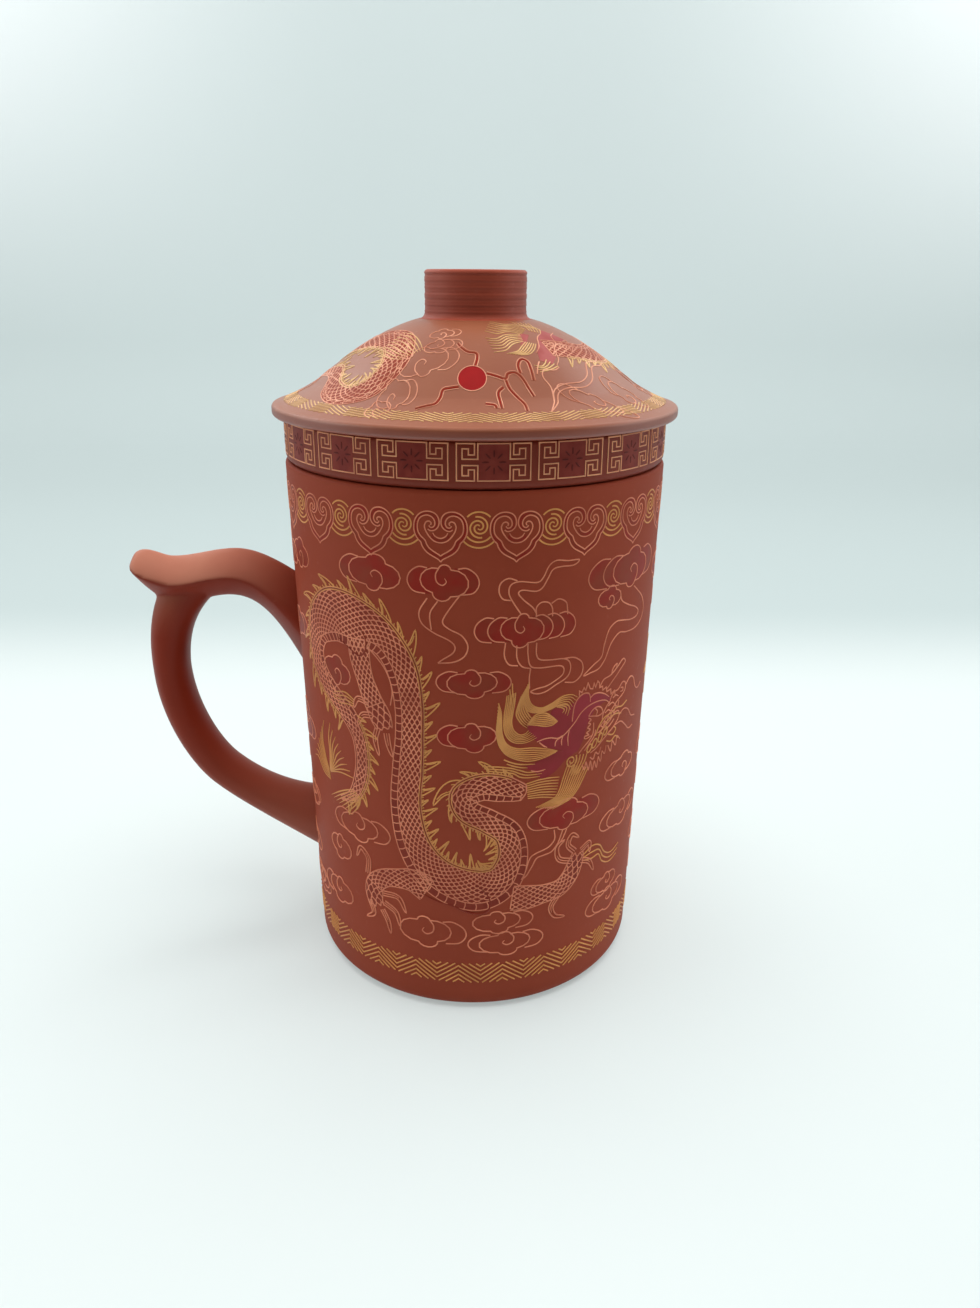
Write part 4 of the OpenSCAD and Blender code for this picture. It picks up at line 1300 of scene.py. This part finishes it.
fret = dict(
    count=17, shift=3.3, middle=120.75, panel=(2.7, 3.1), panelSteps=6, petals=8, petal=[(0.9, 0), (2.1, 0)],
    quarter=[
        (-6.6, 0), (-6.6, 3.25), (-3.45, 3.25), (-3.45, 1.3), (-4.5, 1.3), (-4.5, 2.35), (-5.6, 2.35),
        (-5.6, 0.55), (-2.85, 0.55), (-2.85, 3.25), (0, 3.25),
    ],
)


def makeCollarEnamel():
    # one unbroken key line to a unit, mirrored both ways, and a faint blossom in its panel
    f = fret
    keys, panels, petals = [], [], []
    half = np.concatenate([f["quarter"], mirrored(f["quarter"])[-2::-1]])
    loop = np.concatenate([half, (half * (1, -1))[-2::-1]])
    across, up = f["panel"]
    steps = np.linspace(-up, up, f["panelSteps"])
    for k in range(f["count"]):
        at = np.array((f["shift"] + tau * infuser["collarRadius"] * k / f["count"], f["middle"]))
        keys.append(stroke(loop + at, widths["fret"], steps=0))
        panels.append(tuple(np.column_stack([np.full(len(steps), x), steps]) + at for x in (-across, across)))
        for turn in np.arange(f["petals"]) * 360 / f["petals"]:
            petals.append(stroke(placed(f["petal"], at, turn=turn), widths["petal"], (0.6, 0.6), 3))
    layEnamel(
        "infuser", onCollar,
        (enamelLines, "collar_key_lines", keys, "fret", "gold_enamel"),
        (enamelBands, "collar_panels", panels, "wash", "red_enamel", 8),
        (enamelLines, "collar_blossoms", petals, "blossom", "red_enamel"),
    )


lidDrawing = dict(
    ball=(-0.6, 28.9), ballRadius=2.6, bandCount=24, bandRadius=39.5, bandShrink=0.56, finer=0.88,
    tendrilApart=0.68, spineFrom=4, spineTo=6, spineScale=0.7, scalesTo=0.8,
    # tendrils of the ball: centre lines of double strokes
    tendrils=[
        [(-0.1, 26.4), (0.3, 24.6), (0.1, 23.3), (-1.4, 22.9), (-2.5, 21.8), (-3.3, 20.4)],
        [(-3, 30.6), (-4.6, 30.7), (-5.8, 30.9), (-6.3, 32.4), (-7.2, 33.7), (-9, 34), (-10.6, 34.3)],
        [(2, 27.9), (3.8, 28.3), (5.4, 28.6), (5.9, 27.4), (7.3, 26.9), (8.5, 27.8), (9.6, 29.6), (10.5, 31)],
        [(5.4, 28.6), (6.2, 30.6), (7.8, 32.2), (8.8, 33.4), (9.2, 35)],
        [(5, 30.4), (4.1, 31.6), (4.4, 33.4), (4.7, 35.2)],
        [(8.2, 26.8), (7.8, 25), (8.4, 23.4), (9.6, 23.6), (10.2, 25.4), (10.6, 27.6)],
        [(1.8, 34.2), (3.4, 34.4), (3.8, 35.2)],
    ],
    clouds=[
        ((-9.8, 23.7), (3.9, 3.5), (-1, 1), 1, 0, False), ((-6.6, 20.4), (2.4, 1.9), (1, -1), 1, 0, False),
        ((-15, 29.6), (2.6, 3.6), (-1, 1), 1, 0, False), ((-17.6, 32.4), (2, 2.4), (-1, 1), 0, 0, False),
        ((29.6, 18.4), (3.4, 2.8), (1, 1), 0, 1, False), ((22.6, 27.2), (4.4, 2.2), (1, -1), 1, 1, False),
        ((-6.2, 16.6), (2, 1.6), (1, 1), 1, 0, False), ((-33, 3), (3, 3), (1, 1), 0, 1, False),
        ((33, 6), (3, 2.4), (1, 1), 0, 1, False),
    ],
    ribbons=[
        [(24.2, 8), (23.4, 12.4), (21.3, 15.8), (21.1, 20), (19.6, 23.2), (16.2, 26), (14.3, 28.4),
         (14.2, 31), (13.5, 34.2)],
        [(25.2, 8.4), (24.4, 12.6), (22.4, 16), (22.1, 20.4), (20.4, 23.9), (17, 26.4), (15.1, 28.6),
         (14.8, 31.2), (13.5, 34.2)],
        [(15.6, 22), (14.6, 23.4), (12.6, 24.4), (12.4, 26.2), (13.8, 28), (14.2, 31)],
        [(11.8, 22.6), (11.5, 24), (11.3, 26)],
    ],
    body=[
        (13.5, 17.5, 2.2), (18.5, 14, 2.4), (22.6, 9.5, 2.5), (24.2, 3, 2.6), (22, -4, 2.7),
        (17.8, -9.8, 2.9), (14.6, -15.4, 3), (15.4, -21.8, 3), (19.8, -25.2, 2.8), (25, -23.4, 2.4),
        (27.6, -18, 2), (27.2, -12, 1.6), (29.4, -6.6, 1.1), (31.6, -2, 0.4),
    ],
    plum=[
        ([(12.8, 10.6), (12.1, 14), (11.8, 17), (11.6, 20), (12, 22.2)],
         [(17.4, 10.4), (16.6, 13.6), (15.6, 16.6), (15.1, 19.6), (14.4, 22)]),
        ([(8.2, 15.2), (8, 17), (8.6, 19.4)], [(10.2, 15), (9.8, 17.2), (9.4, 19.2)]),
    ],
    face=[
        [(15.2, 9.4), (14.6, 12), (15.4, 14.4), (15, 17), (15.6, 19.6), (15.2, 21.8)],
        [(12.6, 12.6), (11.8, 15), (12, 18), (11.4, 20.4)],
        [(16, 15.4), (16.6, 13.4), (17.2, 15), (17.8, 12.8), (18.6, 14.6), (19, 12), (19.8, 13.4)],
        [(16.8, 12), (17.6, 10.6), (18.4, 11.6), (19.2, 9.8)],
        [(13.4, 15.6), (14.2, 14.6), (14.9, 15.4), (14.3, 16.3), (13.4, 15.6)],
    ],
    hair=[
        ([(9.6, 13), (7.2, 12), (5, 12.6), (2.8, 11.8)], [(8.8, 15.4), (6.2, 15.6), (4, 17), (1.7, 16.4)], 6),
        ([(8.4, 15.8), (5.6, 17), (3.8, 18.8), (1.8, 18.8)],
         [(9, 18), (7, 19.6), (5.6, 21.8), (3.4, 22.8)], 6),
        ([(9.4, 18), (8.6, 19.8), (7.8, 21.4), (5.8, 22.7)],
         [(11.4, 17.6), (11, 19.6), (10, 21.4), (8.4, 22.3)], 6),
        ([(10.4, 13), (9.6, 11.6), (8.2, 11.7), (6.8, 10.5)],
         [(12.6, 12.6), (12.4, 10.8), (11.2, 10.2), (10.2, 8.8)], 5),
        ([(13.2, 21.4), (12.8, 22.8), (12.1, 23.7), (10.8, 24)],
         [(15.4, 21.8), (14.4, 23.1), (13.2, 24.2), (11.8, 25.2)], 4),
        ([(-14, 11.4), (-12, 14), (-10.6, 17.4), (-9.8, 20.6)],
         [(-18.6, 15.4), (-17.4, 17.6), (-15.8, 19.8), (-13.6, 21.4)], 9),
    ],
)


def doubled(points, apart):
    # the two edges of a ribbon along a centre line
    b = limb(np.column_stack([points, np.full(len(points), apart / 2)]), 0.4)
    return [b["line"] + b["normal"] * t for t in (apart / 2, -apart / 2)]


def drawLidPanel():
    d = lidDrawing
    sheet = newSheet()
    ink(sheet, "muscle", d["tendrils"], widths["tendril"], (1, 0.5))
    edges = [edge for points in d["tendrils"] for edge in doubled(points, d["tendrilApart"])]
    ink(sheet, "pink", edges, widths["tendrilEdge"], steps=0)
    for cloud in d["clouds"]:
        drawCloud(sheet, *cloud)
    ink(sheet, "pink", d["ribbons"], widths["hair"])
    body = limb(d["body"])
    drawScales(sheet, body, lambda half: -d["scalesTo"] * half, leftEdge)
    drawBelly(sheet, body)
    drawSpine(sheet, body, d["spineFrom"], body["length"] - d["spineTo"], d["spineScale"])
    sheet["scaleBands"].append(groundOf(body))
    drawHead(sheet, d, (0.8, 0.5), 8)
    return sheet


def makeLidEnamel():
    d = lidDrawing
    front = drawLidPanel()
    every = merged(front, moved(front, sign=-1))
    # the foot's zigzags again, laid round the lip: height runs inwards
    for path in zigzagRing(d["bandCount"]):
        p = subdivided(path)
        a = p[:, 0] / cup["rimRadius"]
        r = d["bandRadius"] - (p[:, 1] - zigzag["low"]) * d["bandShrink"]
        ink(every, "gold", [np.stack([r * np.sin(a), r * np.cos(a)], -1)], widths["zigzag"], steps=0)
    balls = [arc(np.array(d["ball"]) * sign, d["ballRadius"], 0, 360, 48) for sign in (1, -1)]
    ink(every, "pink", balls, widths["tendrilEdge"], steps=0)
    for kind in ("gold", "pink", "net"):
        every[kind] = [line * (1, 1, d["finer"]) for line in every[kind]]
    layEnamel(
        "lid", onLid,
        (enamelLines, "lid_gold_lines", every["gold"], "lid gold", "gold_enamel"),
        (enamelLines, "lid_pink_lines", every["pink"] + every["net"], "lid pink", "pink_enamel"),
        (enamelLines, "lid_tendrils", every["muscle"], "red", "red_enamel"),
        (enamelBands, "lid_faces", every["plumBands"], "lid plum", "red_enamel", 7),
        (enamelBands, "lid_dragon_grounds", every["scaleBands"], "lid scale", "red_enamel", 9),
        (enamelFills, "lid_balls", balls, "pearl", "red_enamel"),
    )


makeCup()
makeHandle()
makeInfuser()
makeLid()
print("clay pieces turned")
makeCupEnamel()
makeCollarEnamel()
makeLidEnamel()
print("enamel drawn")


# Camera, lamps and the pale sweep that the mug stands on.

shot = dict(lens=26.67, pitch=21.11, yaw=0.97, roll=0.51, back=209.7, up=150.5, nearest=10)


def makeCamera():
    # yaw turns the view to the right, pitch tips it down, and roll turns the picture about its middle
    pitch, yaw, roll = (math.radians(shot[k]) for k in ("pitch", "yaw", "roll"))
    ahead = np.array([math.sin(yaw) * math.cos(pitch), math.cos(yaw) * math.cos(pitch), -math.sin(pitch)])
    level = np.array([math.cos(yaw), -math.sin(yaw), 0])
    upright = np.cross(level, ahead)
    right = math.cos(roll) * level + math.sin(roll) * upright
    camera = shown("camera", bpy.data.cameras.new("camera"))
    camera.data.lens = shot["lens"]
    camera.data.clip_start = shot["nearest"] * mm
    matrix = np.eye(4)
    matrix[:3, 0], matrix[:3, 1], matrix[:3, 2] = right, np.cross(right, ahead), -ahead
    matrix[:3, 3] = (0, -shot["back"] * mm, shot["up"] * mm)
    camera.matrix_world = Matrix(matrix.tolist())
    bpy.context.scene.camera = camera


studio = dict(
    lamps=[
        # name, place, size, power, and whether glossy clay mirrors it
        ("overhead lamp", (0.05, 0.02, 1.0), 0.9, 12, False),
        ("left lamp", (-1.2, 0.0, 0.6), 1.0, 5.8, True),
        ("right lamp", (1.3, 0.1, 0.55), 1.0, 4.6, True),
        ("back left lamp", (-0.75, 0.7, 0.9), 0.5, 1.6, True),
        ("back right lamp", (0.85, 0.75, 0.9), 0.5, 1.2, True),
    ],
    aim=(0, 0, 0.08), world=(0.80, 0.86, 0.87), worldStrength=0.11, worldSeen=0.8,
    # the sweep: how far it reaches to the front, the sides, the back and up, and its bend
    sweepFront=1.5, sweepSide=2.5, sweepBack=0.75, sweepTop=2.5, sweepRadius=0.5,
    # the dim front and the grey band are painted shade, the high tone painted light
    near=(0.778, 0.852, 0.842), dim=(0.3, 0.31, 0.31), shadedGrey=(0.57, 0.66, 0.655), band=(0.66, 0.76, 0.755),
    high=(0.94, 1.0, 1.0), glow=0.44, highGlow=0.6,
    # where each tone gives way to the next: along Y, to the sides, and up
    dimSpan=(-0.4, -0.14), shadedGreySpan=(0.13, 0.25), bandSpan=(0.5, 0.95), sideSpan=(0.1, 0.9),
    highSpan=(0.08, 0.52),
    middleShare=0.3, groundRoughness=0.9, groundSpecular=0.1,
)


def softLamp(name, at, size, power, inGloss):
    lamp = shown(name, bpy.data.lights.new(name, "AREA"))
    lamp.data.size = size
    lamp.data.energy = power
    lamp.visible_glossy = inGloss
    lamp.location = at
    aim = np.array(studio["aim"]) - at
    flat = math.hypot(aim[0], aim[1])
    lamp.rotation_euler = (math.atan2(flat, -aim[2]), 0, math.atan2(-aim[0], aim[1]))


def paleGround():
    # near white, a greyer band from behind the mug on, lighter and glowing again high up and to the sides:
    # painted shade and light on the backdrop;
    # what the mug mirrors of the ground in front is dim: painted shade standing in for a dark room in front
    s = studio
    near, dim, shadedGrey, band, high = ((*s[k], 1) for k in ("near", "dim", "shadedGrey", "band", "high"))
    material, tree, shader = emptyMaterial("pale ground")
    add, maths, ramp, blend = nodeMakers(tree)
    x, y, z = add("SeparateXYZ", {0: add("TexCoord").outputs["Object"]}).outputs
    smooth = functools.partial(ramp, kind="SMOOTHSTEP")
    far = blend(smooth(y, *s["bandSpan"]), shadedGrey, band)
    aside = smooth(maths("ABSOLUTE", x), *s["sideSpan"])
    up = maths("MULTIPLY", ramp(z, *s["highSpan"]), maths("ADD", aside, s["middleShare"]))
    path = add("LightPath")
    # painted shade: the ground in front is dim to all rays but the camera's
    clear = maths("MAXIMUM", smooth(y, *s["dimSpan"]), path.outputs["Is Camera Ray"])
    ground = blend(smooth(y, *s["shadedGreySpan"]), blend(clear, dim, near), far)
    color = blend(up, ground, high)
    feed(tree, shader.inputs["Base Color"], color)
    shader.inputs["Roughness"].default_value = s["groundRoughness"]
    shader.inputs["Specular IOR Level"].default_value = s["groundSpecular"]
    strength = maths("ADD", maths("MULTIPLY", up, s["highGlow"]), 1)
    glow = add("Emission", {"Color": color, "Strength": strength})
    seen = maths("MAXIMUM", path.outputs["Is Camera Ray"], path.outputs["Is Glossy Ray"])
    sockets = {0: maths("MULTIPLY", seen, s["glow"]), 1: shader.outputs[0], 2: glow.outputs[0]}
    feed(tree, tree.nodes["end"].inputs["Surface"], add("MixShader", sockets).outputs[0])
    return material


def makeSweep():
    # flat ground, a quarter round, and a wall, drawn out sideways
    s = studio
    depth, r = s["sweepBack"], s["sweepRadius"]
    line = np.concatenate([
        [(-s["sweepFront"], 0)], arc((depth, r), r, -90, 0, 24), [(depth + r, s["sweepTop"])],
    ])
    grid = np.array([[(x, y, z) for x in (-s["sweepSide"], s["sweepSide"])] for y, z in line])
    mesh = bpy.data.meshes.new("sweep")
    faces = [(2 * i, 2 * i + 1, 2 * i + 3, 2 * i + 2) for i in range(len(line) - 1)]
    mesh.from_pydata(grid.reshape(-1, 3).tolist(), [], faces)
    mesh.shade_smooth()
    sweep = shown("sweep", mesh)
    sweep.data.materials.append(paleGround())


def makeWorld():
    # dim where it lights the mug, and pale where the camera sees past the sweep
    world = bpy.data.worlds.new("studio")
    world.use_nodes = True
    tree = world.node_tree
    seen = addNode(tree, "LightPath").outputs["Is Camera Ray"]
    levels = {"Value": seen, "To Min": studio["worldStrength"], "To Max": studio["worldSeen"]}
    back = tree.nodes["Background"]
    back.inputs["Color"].default_value = (*studio["world"], 1)
    feed(tree, back.inputs["Strength"], addNode(tree, "MapRange", levels).outputs["Result"])
    bpy.context.scene.world = world


makeCamera()
makeSweep()
for lamp in studio["lamps"]:
    softLamp(*lamp)
makeWorld()
bpy.context.scene.view_settings.view_transform = "Standard"
print("studio set")
